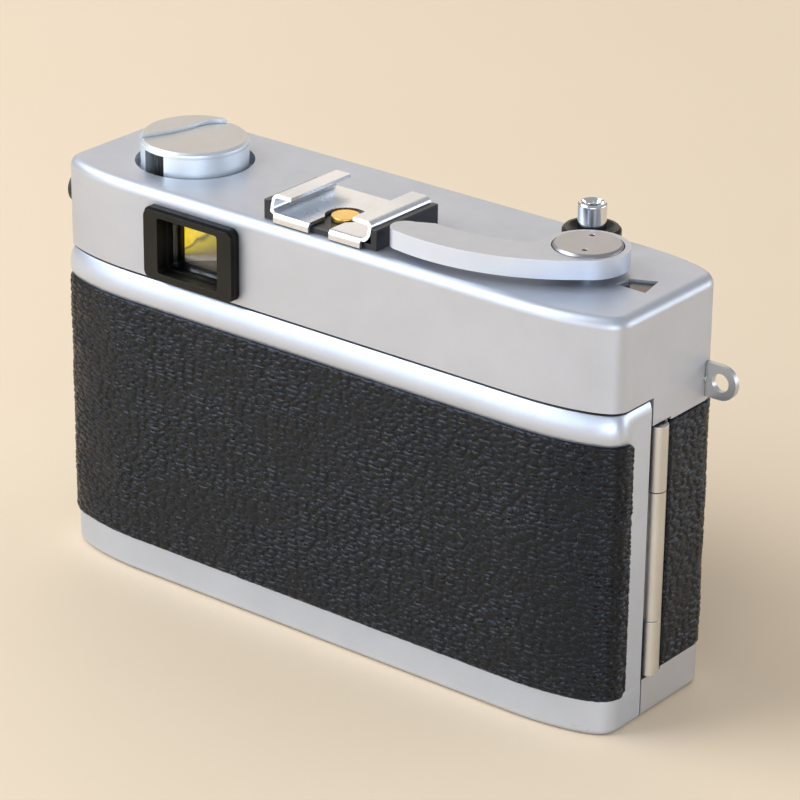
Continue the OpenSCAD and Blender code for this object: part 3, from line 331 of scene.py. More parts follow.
M = {
    "satin_chrome": metal("satin_chrome", (0.555, 0.572, 0.622), 0.44, 0.20, bump_um=4.5, var=0.025, wear=0.35, occlusion_darkening=0.5, metallic=0.75),
    "satin_base": metal("satin_base", (0.57, 0.575, 0.595), 0.42, 0.20, bump_um=4.5, var=0.03, wear=0.45, occlusion_darkening=0.6, scratch=0.5, metallic=0.8),
    # painted reflection: the bluish tint of the door metal stands in for the blue sky light seen in the band's
    # highlight
    "satin_door": metal("satin_door", (0.59, 0.635, 0.72), 0.38, 0.20, bump_um=4.5, var=0.025, wear=0.35, occlusion_darkening=0.5, scratch=0.25, metallic=0.8, scuff=(-HALF_W + 7.0, HALF_D - 1.6, 1.2)),
    # painted reflection: the bluish base of the knob, crank and lever sides stands in for blue sky light reflected from
    # their sides, and the warm grey top colour stands in for how their tops are lit
    "satin_painted_sky_blue": metal("satin_painted_sky_blue", (0.86, 0.93, 1.0), 0.40, 0.18, bump_um=4.0, var=0.02, wear=0.35, occlusion_darkening=0.4, metallic=0.7, top=(0.565, 0.54, 0.515)),
    "lever_satin": metal("lever_satin", (0.70, 0.755, 0.86), 0.42, 0.20, bump_um=4.0, var=0.025, wear=0.45, occlusion_darkening=0.5, metallic=0.75, top=(0.565, 0.575, 0.61)),
    "eyelet_satin": metal("eyelet_satin", (0.60, 0.60, 0.60), 0.36, 0.15, bump_um=4.0, var=0.05, wear=0.5, occlusion_darkening=0.8, metallic=0.85),
    "collar_black": coat("collar_black", (0.010, 0.008, 0.007), 0.30, 0.3, 6, wear=0.5, wear_col=(0.22, 0.20, 0.19), spec=0.22),
    "casting_black": coat("casting_black", (0.014, 0.014, 0.0145), 0.62, 0.22, 22, wear=0.35),
    "leather_black": leather("leather_black"),
    "nickel": metal("nickel", (0.64, 0.615, 0.58), 0.38, 0.14, (1, 1, 14), 5, var=0.05, wear=0.5, occlusion_darkening=0.7),
    "steel": metal("steel", (0.76, 0.78, 0.82), 0.29, 0.12, (1, 22, 1), 3, var=0.04, wear=0.5, occlusion_darkening=0.6, aniso=0.4),
    "bright_chrome": metal("bright_chrome", (0.74, 0.745, 0.76), 0.10, 0.3, bump_um=1.5, var=0.03, wear=0.3, occlusion_darkening=0.6),
    "black_metal": coat("black_metal", (0.016, 0.016, 0.018), 0.34, 0.2, 6, wear=0.75, wear_col=(0.30, 0.29, 0.28)),
    "black_plastic": coat("black_plastic", (0.013, 0.0135, 0.016), 0.33, 0.3, 7, wear=0.4, wear_col=(0.10, 0.10, 0.11)),
    "foam": foam("foam"),
    "cap_chrome": metal("cap_chrome", (0.42, 0.41, 0.43), 0.34, 0.18, bump_um=3.5, var=0.03, wear=0.9, wear_col=(0.9, 0.9, 0.92), occlusion_darkening=0.5),
    "eyepiece_black": coat("eyepiece_black", (0.0125, 0.0112, 0.0085), 0.42, 0.3, 6, wear=0.35, wear_col=(0.09, 0.09, 0.095), spec=0.20, painted_shade_mm=5.0),
    "gilt": metal("gilt", (0.90, 0.58, 0.16), 0.30, 0.2, (1, 8, 1), 5, var=0.06, wear=0.4, occlusion_darkening=0.5),
    "brass": metal("brass", (0.66, 0.47, 0.20), 0.33, 0.2, (4, 4, 1), 5, var=0.08, wear=0.5, occlusion_darkening=0.5),
    "clear_glass": glass("clear_glass", (0.94, 0.97, 0.98)),
    "smoked_glass": glass("smoked_glass", (0.42, 0.355, 0.31), 0.06),
    "amber_glass": amber("amber_glass"),
    "frosted_glass": glass("frosted_glass", (0.86, 0.89, 0.91), 0.38),
    "coated_glass": glass("coated_glass", (0.86, 0.84, 0.95), 0.01, (0.55, 0.4, 0.95)),
    "mirror": metal("mirror", (0.86, 0.87, 0.89), 0.04, 1.0, bump_um=0.3, var=0.02, wear=0.0),
    "dial_white": coat("dial_white", (0.62, 0.60, 0.55), 0.45, 0.3, 5, var=0.04, wear=0.2, wear_col=(0.4, 0.36, 0.3)),
    "lens_alloy": metal("lens_alloy", (0.62, 0.62, 0.63), 0.30, 0.16, (1, 1, 1), 5, var=0.03, wear=0.5, occlusion_darkening=0.5),
    "spool_black": coat("spool_black", (0.014, 0.014, 0.014), 0.24, 0.4, 4, wear=0.3),
}
NODE_SLOT = {s["node"]: s["material_slot"] for s in frame["record"]["subparts"]}


# ------------------------------------------------------------------ mesh helpers (input in mm)
def mesh_object(name, verts, faces, slot, body, sharp=35.0, weighted=True, mat=None):
    me = bpy.data.meshes.new(name)
    me.from_pydata([tuple(float(c) * MM for c in v) for v in verts], [], [tuple(int(i) for i in f) for f in faces])
    me.validate()
    return dress(name, me, slot, body, sharp, weighted, mat)


def dress(name, me, slot, body, sharp=35.0, weighted=True, mat=None):
    bm = bmesh.new()
    bm.from_mesh(me)
    bmesh.ops.recalc_face_normals(bm, faces=bm.faces)
    bm.to_mesh(me)
    bm.free()
    me.polygons.foreach_set("use_smooth", [True] * len(me.polygons))
    me.set_sharp_from_angle(angle=math.radians(sharp))
    me.materials.clear()
    me.materials.append(mat or M[slot])
    o = bpy.data.objects.new(name, me)
    SCENE.collection.objects.link(o)
    if weighted:
        w = o.modifiers.new("wn", "WEIGHTED_NORMAL")
        w.keep_sharp = True
        w.weight = 60
    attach(o, body)
    return o


def outline(t=0.0, n=22, pressed=True):
    """Body outline inset by t: long rear sweep, then a pressed corner of about 3.6 mm radius on the outer skins."""
    rx, ry = CORNER_X - t, max(CORNER_Y - t, 2)
    cx, cy = HALF_W - t - rx, HALF_D - t - ry
    quad = [(HALF_W - t, y) for y in (8.2, 8.8, 9.4)]
    if pressed:
        r, last = 3.6 - t, None
        for i in range(50, 900):
            a = math.radians(i / 10)
            nx, ny = math.cos(a) / rx, math.sin(a) / ry
            k = math.hypot(nx, ny)
            px, py = cx + rx * math.cos(a) - r * nx / k, cy + ry * math.sin(a) - r * ny / k
            off = px - (HALF_W - t - r)
            if last is not None and off * last < 0:
                break
            last = off
        end, m, a0 = math.atan2(ny, nx), n // 2, math.degrees(a)
        quad += [(px + r * math.cos(end * j / m), py + r * math.sin(end * j / m)) for j in range(m)]
        quad += [(cx + rx * math.cos(math.radians(a0 + (90 - a0) * j / (n - m))), cy + ry * math.sin(math.radians(a0 + (90 - a0) * j / (n - m)))) for j in range(n - m + 1)]
    else:
        quad += [(cx + rx * math.cos(math.radians(90 * i / n)), cy + ry * math.sin(math.radians(90 * i / n))) for i in range(n + 1)]
    pts = []
    for sx, sy in ((1, 1), (-1, 1), (-1, -1), (1, -1)):
        pts += [(sx * x, sy * y) for x, y in (quad if sx * sy > 0 else quad[::-1])]
    return pts


def ring(t, z, n=22, pressed=True):
    return [(x, y, z) for x, y in outline(t, n, pressed)]


def loft(rings, cap0=True, cap1=True):
    k = len(rings[0])
    verts = [p for r in rings for p in r]
    faces = []
    for i in range(len(rings) - 1):
        for j in range(k):
            a, b = i * k + j, i * k + (j + 1) % k
            faces.append((a, b, b + k, a + k))
    if cap0:
        faces.append(tuple(range(k))[::-1])
    if cap1:
        faces.append(tuple(range((len(rings) - 1) * k, len(rings) * k)))
    return verts, faces


def raw(verts, faces):
    me = bpy.data.meshes.new("raw")
    me.from_pydata([tuple(float(c) * MM for c in v) for v in verts], [], [tuple(int(i) for i in f) for f in faces])
    bm = bmesh.new()
    bm.from_mesh(me)
    bmesh.ops.recalc_face_normals(bm, faces=bm.faces)
    bm.to_mesh(me)
    bm.free()
    o = bpy.data.objects.new("raw", me)
    SCENE.collection.objects.link(o)
    return o


def box_raw(x0, x1, y0, y1, z0, z1):
    v = [(x, y, z) for x in (x0, x1) for y in (y0, y1) for z in (z0, z1)]
    return raw(v, [(0, 1, 3, 2), (4, 6, 7, 5), (0, 4, 5, 1), (2, 3, 7, 6), (0, 2, 6, 4), (1, 5, 7, 3)])


def prism_raw(poly, z0, z1, axis="z"):
    k = len(poly)
    f = {"z": lambda a, b, h: (a, b, h), "y": lambda a, b, h: (a, h, b), "x": lambda a, b, h: (h, a, b)}[axis]
    v = [f(a, b, z0) for a, b in poly] + [f(a, b, z1) for a, b in poly]
    return raw(v, [tuple(range(k)), tuple(range(k, 2 * k))] + [(i, (i + 1) % k, k + (i + 1) % k, k + i) for i in range(k)])


def circle(c, r, n=96):
    return [(c[0] + r * math.cos(2 * math.pi * i / n), c[1] + r * math.sin(2 * math.pi * i / n)) for i in range(n)]


def rounded(x0, x1, y0, y1, r, n=8):
    out = []
    for cx, cy, a0 in ((x1 - r, y1 - r, 0), (x0 + r, y1 - r, 90), (x0 + r, y0 + r, 180), (x1 - r, y0 + r, 270)):
        out += [(cx + r * math.cos(math.radians(a0 + 90 * i / n)), cy + r * math.sin(math.radians(a0 + 90 * i / n))) for i in range(n + 1)]
    return out


def combine(base, cutters, adds=(), bevel=0.0, segments=3, limit=40.0):
    """base plus adds minus cutters, with rounded edges, as a plain mesh. The inputs are removed."""
    for op, group in (("UNION", adds), ("DIFFERENCE", cutters)):
        for c in group:
            m = base.modifiers.new(op, "BOOLEAN")
            m.operation, m.solver, m.object = op, "EXACT", c
    if bevel:
        d = base.modifiers.new("dissolve", "DECIMATE")
        d.decimate_type, d.angle_limit = "DISSOLVE", math.radians(0.6)
        b = base.modifiers.new("bevel", "BEVEL")
        b.width, b.segments, b.limit_method, b.angle_limit = bevel * MM, segments, "ANGLE", math.radians(limit)
        b.miter_outer = "MITER_ARC"
        b.use_clamp_overlap = True
    dg = bpy.context.evaluated_depsgraph_get()
    me = bpy.data.meshes.new_from_object(base.evaluated_get(dg))
    for o in [base, *cutters, *adds]:
        bpy.data.objects.remove(o)
    return me


# ------------------------------------------------------------------ top cover
def make_top_cover():
    rings = [ring(0, FRONT_SEAM), ring(0, BODY_H - TOP_R)]
    for k in range(1, 11):
        a = math.radians(9 * k)
        rings.append(ring(TOP_R * (1 - math.cos(a)), BODY_H - TOP_R + TOP_R * math.sin(a)))
    inner = [ring(1.0, FRONT_SEAM, pressed=False), ring(1.0, BODY_H - TOP_R - 0.4, pressed=False), ring(2.0, BODY_H - 1.0, pressed=False)]
    shell = inner[::-1] + rings
    v, f = loft(shell, True, True)
    k = len(rings[0])
    base = raw(v, f)
    rz0 = bx("rewind_knob")[0][2] - 0.2
    dish = prism_raw(circle(RW, 11.0), rz0 - 0.6, BODY_H - 0.9)
    ey0, ey1 = bx("eyepiece_frame")
    fb0, fb1 = bx("finder_bezel")
    sy = (bx("sync_socket")[0] + bx("sync_socket")[1]) / 2
    sk = (bx("shoe_contact")[0] + bx("shoe_contact")[1]) / 2
    cw = counter_poly(0)
    cutters = [
        box_raw(-60, 60, STEP_Y, 20, 40, REAR_SEAM),
        prism_raw(circle(RW, min(10.2, (bx("rewind_knob")[1][0] - bx("rewind_knob")[0][0]) / 2 + 0.95), 120), rz0, 80),
        prism_raw(circle(RW, 3.2, 48), 60, 69),
        prism_raw(circle(LV, 3.0, 48), 60, 80),
        prism_raw(circle(SB, 3.6, 48), 60, 80),
        prism_raw(circle(sk[:2], 2.0, 48), 60, 80),
        prism_raw(cw, 60, 80),
        box_raw(18.1, 32.4, 10, 20, 55.9, 66.6),
        box_raw(fb0[0] + 1.4, fb1[0] - 1.2, -20, -10, fb0[2] + 1.1, fb1[2] - 1.0),
        box_raw(-60, -53.5, -1.1, 5, 40, 49.8),
        prism_raw(circle((sy[1], sy[2]), 2.85, 48), 50, 60, "x"),
        prism_raw(circle((EYE[1], EYE[2]), 0.86, 24), -60, 60, "x"),
    ]
    me = combine(base, cutters, [dish], bevel=0.16, segments=3, limit=38)
    o = dress("top_cover_skin", me, "satin_chrome", "body", 30)
    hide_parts("top_cover")
    return o


def counter_poly(t):
    return [(-46.5 - t, 1.2 - t), (-46.9 - t, -2.0 + t), (-50.9 + t, -3.8 + t * 1.4), (-52.0 + t, 1.3 - t)]


# ------------------------------------------------------------------ door and base, pressed pans
def make_door():
    outer = [(0.9, 0.0), (0.62, 0.05), (0.4, 0.17), (0.24, 0.33), (0.12, 0.52), (0.04, 0.75), (0, 1.0), (0, 5.7), (0.03, 5.9), (0.05, 6.1), (0.0, 20.0), (-0.06, 40.0), (-0.02, 48.2)]
    for i in range(0, 19):
        q = i / 18
        z = 48.9 + (DOOR_TOP - 0.38 - 48.9) * q
        if q < 0.36:
            out = -0.6 + 0.68 * (1 - q / 0.36) ** 2.2
        else:
            out = -0.6 + 1.02 * ((q - 0.36) / 0.64) ** 2.0
        outer.append((out, z))
    # the band runs out into the flat strip beside the hinge
    far = [min(max((abs(y) - 8.8) / 3.6, 0), 1) for x, y in outline(0)]
    far = [w * w * (3 - 2 * w) for w in far]
    rings = []
    for t, z in outer:
        q = min(max((z - 52.2) / (DOOR_TOP - 0.38 - 52.2), 0), 1)
        flat = ring(t if z < 48.5 else -0.05 + 0.45 * q * q, z)
        rings.append([(a[0] + (b[0] - a[0]) * w, a[1] + (b[1] - a[1]) * w, z) for a, b, w in zip(flat, ring(t, z), far)])
    inner = [ring(1.05, 1.0, pressed=False), ring(1.05, DOOR_TOP - 0.38, pressed=False)]
    v, f = loft([inner[0], inner[1]] + rings[::-1], True, True)
    base = raw(v, f)
    wedge = [(-20, 48.6), (DOOR_Y + 0.12, 48.6), (DOOR_Y + 0.6, DOOR_TOP + 0.5), (-20, DOOR_TOP + 0.5)]
    cutters = [box_raw(-60, 60, -20, DOOR_Y, -2, 60), prism_raw(wedge, 50, 60, "x")]
    me = combine(base, cutters, bevel=0.12, segments=2, limit=50)
    o = dress("back_door_skin", me, "satin_door", "door", 35)
    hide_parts("back_door")
    return o


def make_base():
    outer = [(0.9, 0.0), (0.62, 0.05), (0.4, 0.17), (0.24, 0.33), (0.12, 0.52), (0.04, 0.75), (0, 1.0), (0, BC1[2])]
    v, f = loft([ring(1.0, 1.2, pressed=False), ring(1.0, BC1[2], pressed=False)] + [ring(t, z) for t, z in outer[::-1]], True, True)
    base = raw(v, f)
    bc = (bx("battery_cover")[0] + bx("battery_cover")[1]) / 2
    rr = (bx("rewind_release")[0] + bx("rewind_release")[1]) / 2
    cutters = [
        box_raw(-60, 60, DOOR_Y - 0.22, 30, -2, 60),
        prism_raw(circle((0, 0), 4.15, 64), -1, 2),
        prism_raw(circle(bc[:2], 6.3, 72), -1, 2),
        prism_raw(circle(rr[:2], 1.6, 32), -1, 2),
        box_raw(-60, -53.6, -1.0, 6, 6.7, 9),
    ]
    for p in ((-50, -10.2), (50.5, -10.2), (-12, -12.4), (51.2, 2.0), (-50.6, 2.2)):
        k = 32
        v2 = [(p[0] + r * math.cos(2 * math.pi * i / k), p[1] + r * math.sin(2 * math.pi * i / k), z) for r, z in ((1.79, -0.03), (0.85, 0.9), (0.85, 1.5)) for i in range(k)]
        f2 = [tuple(range(k)), tuple(range(2 * k, 3 * k))] + [(q * k + i, q * k + (i + 1) % k, (q + 1) * k + (i + 1) % k, (q + 1) * k + i) for q in (0, 1) for i in range(k)]
        cutters.append(raw(v2, f2))
    me = combine(base, cutters, bevel=0.12, segments=2, limit=45)
    o = dress("base_cover_skin", me, "satin_base", "body", 35)
    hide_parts("base_cover")
    return o


# ------------------------------------------------------------------ leather with modelled grain
def hash2(ix, iy, k):
    v = np.sin(ix * 127.1 + iy * 311.7 + k * 74.7) * 43758.5453
    return v - np.floor(v)


def worley(u, v):
    """Distances to the nearest and second nearest of a jittered grid of points."""
    iu, iv = np.floor(u), np.floor(v)
    f1 = np.full(u.shape, 9.0)
    f2 = np.full(u.shape, 9.0)
    for dx in (-1, 0, 1):
        for dy in (-1, 0, 1):
            cx, cy = iu + dx, iv + dy
            px = cx + 0.5 + 0.86 * (hash2(cx, cy, 1.0) - 0.5)
            py = cy + 0.5 + 0.86 * (hash2(cx, cy, 2.0) - 0.5)
            d = np.hypot(u - px, v - py)
            n2 = np.minimum(np.maximum(f1, d), f2)
            f1 = np.minimum(f1, d)
            f2 = n2
    return f1, f2


def value_noise(u, v, k=0.0):
    iu, iv = np.floor(u), np.floor(v)
    fu, fv = u - iu, v - iv
    fu, fv = fu * fu * (3 - 2 * fu), fv * fv * (3 - 2 * fv)
    a, b = hash2(iu, iv, k), hash2(iu + 1, iv, k)
    c, d = hash2(iu, iv + 1, k), hash2(iu + 1, iv + 1, k)
    return (a * (1 - fu) + b * fu) * (1 - fv) + (c * (1 - fu) + d * fu) * fv


def grain_height(s, z):
    """Relief of the leatherette in mm: long low pebbles parted by creases, running along the body."""
    wu = s + 0.9 * value_noise(s / 3.1, z / 2.2, 3) - 0.45
    wv = z + 0.9 * value_noise(s / 4.3, z / 2.6, 4) - 0.45 + 0.16 * s * 0.0
    f1, f2 = worley(wu / 2.15, wv / 0.84)
    crease = np.clip((f2 - f1) / 0.30, 0, 1)
    h = (0.25 * (crease ** 0.6) - 0.12 * f1) * (0.65 + 0.8 * value_noise(s / 6.0, z / 4.0, 8))
    g1, g2 = worley(wu / 0.7 + 13, wv / 0.42 + 7)
    h += 0.05 * np.clip((g2 - g1) / 0.4, 0, 1)
    h += 0.05 * (value_noise(s / 1.3, z / 0.9, 6) - 0.5)
    h += 0.03 * (value_noise(s / 5.0, z / 5.0, 7) - 0.5)
    return h - 0.13


def path_points(t, sel, step):
    """Evenly spaced points and outward normals along the outline, in order, for the part picked by sel(x, y)."""
    fine = np.array(outline(0.0, 60))
    fine = np.vstack([fine, fine[:1]])
    seg = np.hypot(*(fine[1:] - fine[:-1]).T)
    s = np.r_[0, np.cumsum(seg)]
    n = int(s[-1] / 0.05)
    q = np.linspace(0, s[-1], n, endpoint=False)
    P = np.stack([np.interp(q, s, fine[:, i]) for i in (0, 1)], 1)
    T = np.roll(P, -3, 0) - np.roll(P, 3, 0)
    T /= np.hypot(*T.T)[:, None]
    N = np.stack([T[:, 1], -T[:, 0]], 1)
    if np.mean(np.sum(N * P, 1)) < 0:
        N = -N
    keep = sel(P[:, 0], P[:, 1])
    k0 = int(np.argmax(keep & ~np.roll(keep, 1)))
    P, N, keep = np.roll(P, -k0, 0), np.roll(N, -k0, 0), np.roll(keep, -k0)
    m = int(np.argmin(keep)) if not keep.all() else n
    P, N = P[:m], N[:m]
    ds = np.r_[0, np.cumsum(np.hypot(*(P[1:] - P[:-1]).T))]
    c = max(2, int(round(ds[-1] / step)) + 1)
    u = np.linspace(0, ds[-1], c)
    Pq = np.stack([np.interp(u, ds, P[:, i]) for i in (0, 1)], 1)
    Nq = np.stack([np.interp(u, ds, N[:, i]) for i in (0, 1)], 1)
    Nq /= np.hypot(*Nq.T)[:, None]
    return u, Pq, Nq


def leather_sheet(name, node, body, sel, z0, z1, out, inner, corner, step, seed, holes=()):
    """A sheet of leatherette wrapped on the body: grained outer face, cut edges, flat inner face."""
    u, P, N = path_points(0, sel, step)
    C = len(u)
    R = int(round((z1 - z0) / step)) + 1
    L = u[-1]
    d_end = np.minimum(u, L - u)
    cut = np.where(d_end < corner, corner - np.sqrt(np.maximum(corner ** 2 - (corner - d_end) ** 2, 0)), 0.0)
    V = np.linspace(0, 1, R)
    Z = (z0 + cut)[:, None] + V[None, :] * (z1 - z0 - 2 * cut)[:, None]
    S = np.repeat(u[:, None], R, 1)
    h = grain_height(S + seed, Z + seed * 0.37)
    # distance to the cut edge: the sheet rolls down to it, and wanders a little
    edge = np.minimum(np.minimum(S, L - S), np.minimum(Z - (z0 + cut)[:, None], (z1 - cut)[:, None] - Z))
    roll = np.clip(edge / 0.35, 0, 1)
    fall = (1 - np.sqrt(1 - (1 - roll) ** 2 + 1e-9)) * 0.55
    off = -(out) + h * np.clip(edge / 0.25, 0.15, 1) - fall * (inner - out) * 0.75
    X = P[:, None, 0] + N[:, None, 0] * off
    Y = P[:, None, 1] + N[:, None, 1] * off
    Zw = Z + np.where(V[None, :] < 0.5, 1, -1) * 0.07 * (value_noise(S / 0.7, S * 0, 9)) * np.clip(1 - edge / 0.3, 0, 1)
    verts = np.stack([X, Y, Zw], -1).reshape(-1, 3)
    idx = np.arange(C * R).reshape(C, R)
    keep = np.ones((C - 1, R - 1), bool)
    for (hx, hz, hr, side) in holes:
        on = (P[:, 1] * side > 0)[:, None] & np.ones((1, R), bool)
        dx, dz = X - hx, Zw - hz
        rr = np.hypot(dx, dz)
        near = on & (np.abs(rr - hr) < step * 0.75)
        k = np.where(near, hr / np.maximum(rr, 1e-6), 1.0)
        verts[:, 0] = (hx + dx * k).reshape(-1)
        verts[:, 2] = (hz + dz * k).reshape(-1)
        X, Zw = verts[:, 0].reshape(C, R), verts[:, 2].reshape(C, R)
        inside = on & (np.hypot(X - hx, Zw - hz) < hr - 1e-3)
        corner_in = inside[:-1, :-1] | inside[1:, :-1] | inside[:-1, 1:] | inside[1:, 1:]
        keep &= ~corner_in
    a, b, c, d = idx[:-1, :-1][keep], idx[1:, :-1][keep], idx[1:, 1:][keep], idx[:-1, 1:][keep]
    quads = np.stack([a, b, c, d], 1)
    # inner face, parallel to the body, and a skirt round every open border
    e = np.concatenate([quads[:, [0, 1]], quads[:, [1, 2]], quads[:, [2, 3]], quads[:, [3, 0]]])
    key = np.sort(e, 1)
    code = key[:, 0].astype(np.int64) * (C * R) + key[:, 1]
    uniq, first, cnt = np.unique(code, return_index=True, return_counts=True)
    border = e[first[cnt == 1]]
    col = np.arange(C * R) // R
    back = verts.copy()
    push = (-inner) - off.reshape(-1)
    back[:, 0] += N[col, 0] * push
    back[:, 1] += N[col, 1] * push
    allv = np.vstack([verts, back])
    allf = np.vstack([quads, quads[:, ::-1] + C * R, np.stack([border[:, 1], border[:, 0], border[:, 0] + C * R, border[:, 1] + C * R], 1)])
    used = np.zeros(len(allv), bool)
    used[allf.reshape(-1)] = True
    new = np.cumsum(used) - 1
    me = bpy.data.meshes.new(name)
    me.from_pydata((allv[used] * MM).tolist(), [], new[allf].tolist())
    bm = bmesh.new()
    bm.from_mesh(me)
    bmesh.ops.recalc_face_normals(bm, faces=bm.faces)
    bm.to_mesh(me)
    bm.free()
    me.polygons.foreach_set("use_smooth", [True] * len(me.polygons))
    me.set_sharp_from_angle(angle=math.radians(60))
    me.materials.append(M["leather_black"])
    o = bpy.data.objects.new(name, me)
    SCENE.collection.objects.link(o)
    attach(o, body)
    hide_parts(node)
    return o


STEP = 0.19
top = make_top_cover()
door = make_door()
base = make_base()
leather_sheet("door_leather_grain", "door_leather", "door", lambda x, y: y > 8.8, DL0[2], DL1[2] + 0.24, -0.40, 0.10, 1.5, STEP, 4.0)
lens_r = (bx("lens_mount_ring")[1][0] - bx("lens_mount_ring")[0][0]) / 2
st0, st1 = bx("self_timer_lever")
leather_sheet("front_leather_grain", "front_leather", "body", lambda x, y: ((x > 0) & (y < STEP_Y - 0.3)) | ((x <= 0) & (y < -1.0)), FL0[2], FL1[2], -0.16, 0.8, 0.2, STEP * 1.2, 61.0,
              holes=((0.0, LENS_Z, lens_r + 0.1, -1), ((st0[0] + st1[0]) / 2, 36.0, 3.6, -1)))


# ------------------------------------------------------------------ accessory shoe, folded from sheet
def make_shoe():
    r0, r1 = bx("shoe_rails")
    cx = (r0[0] + r1[0]) / 2
    hw = (r1[0] - r0[0]) / 2
    t = 0.6
    zf, zt = BODY_H + 0.92, r1[2]
    top = zf + 0.78
    rb, rt = 1.0, 0.8
    line = []
    for i in range(0, 11):
        a = math.radians(-90 + 90 * i / 10)
        line.append((hw - 0.3 - rb + rb * math.cos(a), top - 0.3 + rb + rb * math.sin(a)))
    for i in range(0, 11):
        a = math.radians(90 * i / 10)
        line.append((hw - 0.3 - rt + rt * math.cos(a), zt - 0.3 - rt + rt * math.sin(a)))
    line.append((6.2, zt - 0.3))
    walls = []
    for side in (-1, 1):
        P = np.array([(side * x, z) for x, z in line])
        T = np.gradient(P, axis=0)
        T /= np.hypot(*T.T)[:, None]
        N = np.stack([-T[:, 1], T[:, 0]], 1) * side
        sec = np.vstack([P + N * 0.3, (P - N * 0.3)[::-1]])
        # outer face leans forward at its rear end, as a folded blank does
        k = len(sec)
        lean = np.clip((sec[:, 1] - top) / (zt - top), 0, 1)
        y1 = 14.35 - 0.95 * lean ** 0.6
        v = [(cx + x, r0[1], z) for x, z in sec] + [(cx + x, y, z) for (x, z), y in zip(sec, y1)]
        f = [tuple(range(k)), tuple(range(k, 2 * k))] + [(i, (i + 1) % k, k + (i + 1) % k, k + i) for i in range(k)]
        walls.append(raw(v, f))
    prof = [(r0[1], top)] + [(14.0 + 0.9 * math.cos(math.radians(90 - 90 * i / 10)), top - 0.9 + 0.9 * math.sin(math.radians(90 - 90 * i / 10))) for i in range(11)]
    prof += [(14.9, BODY_H + 0.12), (14.3, BODY_H + 0.12), (14.3, top - 0.62), (r0[1], top - 0.62)]
    k2 = len(prof)
    x0, x1 = cx - hw + 0.3 + rb, cx + hw - 0.3 - rb
    v2 = [(x0, y, z) for y, z in prof] + [(x1, y, z) for y, z in prof]
    f2 = [tuple(range(k2)), tuple(range(k2, 2 * k2))] + [(i, (i + 1) % k2, k2 + (i + 1) % k2, k2 + i) for i in range(k2)]
    rail = raw(v2, f2)
    c = (bx("shoe_contact")[0] + bx("shoe_contact")[1]) / 2
    cutters = [prism_raw(circle(c[:2], 3.3, 72), 60, zf + 1.5), box_raw(-1.8, 2.3, 8.2, 16, 60, zf + 1.5)]
    me = combine(rail, cutters, walls, bevel=0.12, segments=3, limit=50)
    o = dress("shoe_rails_formed", me, "steel", "body", 32)
    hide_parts("shoe_rails")
    return o


make_shoe()


# ------------------------------------------------------------------ button return spring, a wound coil under the button
def make_spring():
    s0, s1 = bx("button_spring")
    flange, wire = 62.0, 0.26
    zb, zt = s0[2] + wire, flange - 0.06 - wire
    rad, turns, seg = (s1[0] - s0[0]) / 2 - wire - 0.04, 5.5, 32
    rings, n = [], int(turns * seg)
    for i in range(n + 1):
        q = i / n
        a = 2 * math.pi * turns * q
        rise = min(max((q - 0.13) / 0.74, 0), 1)
        c = Vector((SB[0] + rad * math.cos(a), SB[1] + rad * math.sin(a), zb + (zt - zb) * rise))
        out = Vector((math.cos(a), math.sin(a), 0))
        rings.append([tuple(c + out * wire * math.cos(b) + Vector((0, 0, wire * math.sin(b)))) for b in (2 * math.pi * k / 12 for k in range(12))])
    v, f = loft(rings, True, True)
    o = mesh_object("button_spring_coil", v, f, NODE_SLOT["button_spring"], "body", 50, False)
    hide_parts("button_spring")
    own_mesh(o)
    return o


make_spring()

# ------------------------------------------------------------------ CAD nodes that stay: welded, edges rounded, finish applied
BEVEL = {
    "advance_lever": (0.34, 4), "lever_cap": (0.16, 3), "rewind_knob": (0.16, 3), "rewind_crank": (0.14, 3), "crank_grip": (0.08, 2),
    "shutter_button": (0.14, 3), "shutter_collar": (0.22, 3), "eyepiece_frame": (0.28, 4), "shoe_base": (0.42, 4), "shoe_contact": (0.1, 2),
    "strap_eyelets": (0.24, 4), "hinge_body_leaf": (0.1, 2), "hinge_door_leaf": (0.1, 2), "sync_socket": (0.3, 3),
    "finder_bezel": (0.18, 3), "self_timer_lever": (0.3, 3), "focus_ring": (0.16, 2), "aperture_ring": (0.05, 1), "lens_mount_ring": (0.1, 2),
    "lens_cell": (0.12, 2), "battery_cover": (0.15, 3), "tripod_bush": (0.15, 2), "base_screws": (0.05, 1), "rewind_release": (0.12, 2),
    "pressure_plate": (0.12, 2), "door_catch": (0.1, 2), "lift_bar": (0.08, 2), "body_casting": (0.12, 2), "take_up_spool": (0.15, 2),
    "sprocket_shaft": (0.06, 1), "counter_window": (0.04, 2),
}
FINISH = {"advance_lever": "lever_satin", "rewind_knob": "satin_painted_sky_blue", "rewind_crank": "satin_painted_sky_blue", "lever_cap": "cap_chrome", "eyepiece_frame": "eyepiece_black", "shutter_collar": "collar_black", "strap_eyelets": "eyelet_satin", "counter_window": "smoked_glass"}
for name, o in NODES.items():
    if o.hide_render:
        continue
    me = o.data
    if "custom_normal" in me.attributes:
        me.attributes.remove(me.attributes["custom_normal"])
    me.polygons.foreach_set("use_smooth", [True] * len(me.polygons))
    slot_name = NODE_SLOT[name]
    me.materials.clear()
    me.materials.append(M[FINISH.get(name, slot_name)])
    w = o.modifiers.new("weld", "WELD")
    w.merge_threshold = 2e-6
    d = o.modifiers.new("flat", "DECIMATE")
    d.decimate_type, d.angle_limit = "DISSOLVE", math.radians(0.5)
    width, seg = BEVEL.get(name, (0.06, 1))
    b = o.modifiers.new("bevel", "BEVEL")
    b.width, b.segments, b.limit_method, b.angle_limit = width * MM, seg, "ANGLE", math.radians(34)
    b.use_clamp_overlap = True
    n = o.modifiers.new("wn", "WEIGHTED_NORMAL")
    n.weight = 60

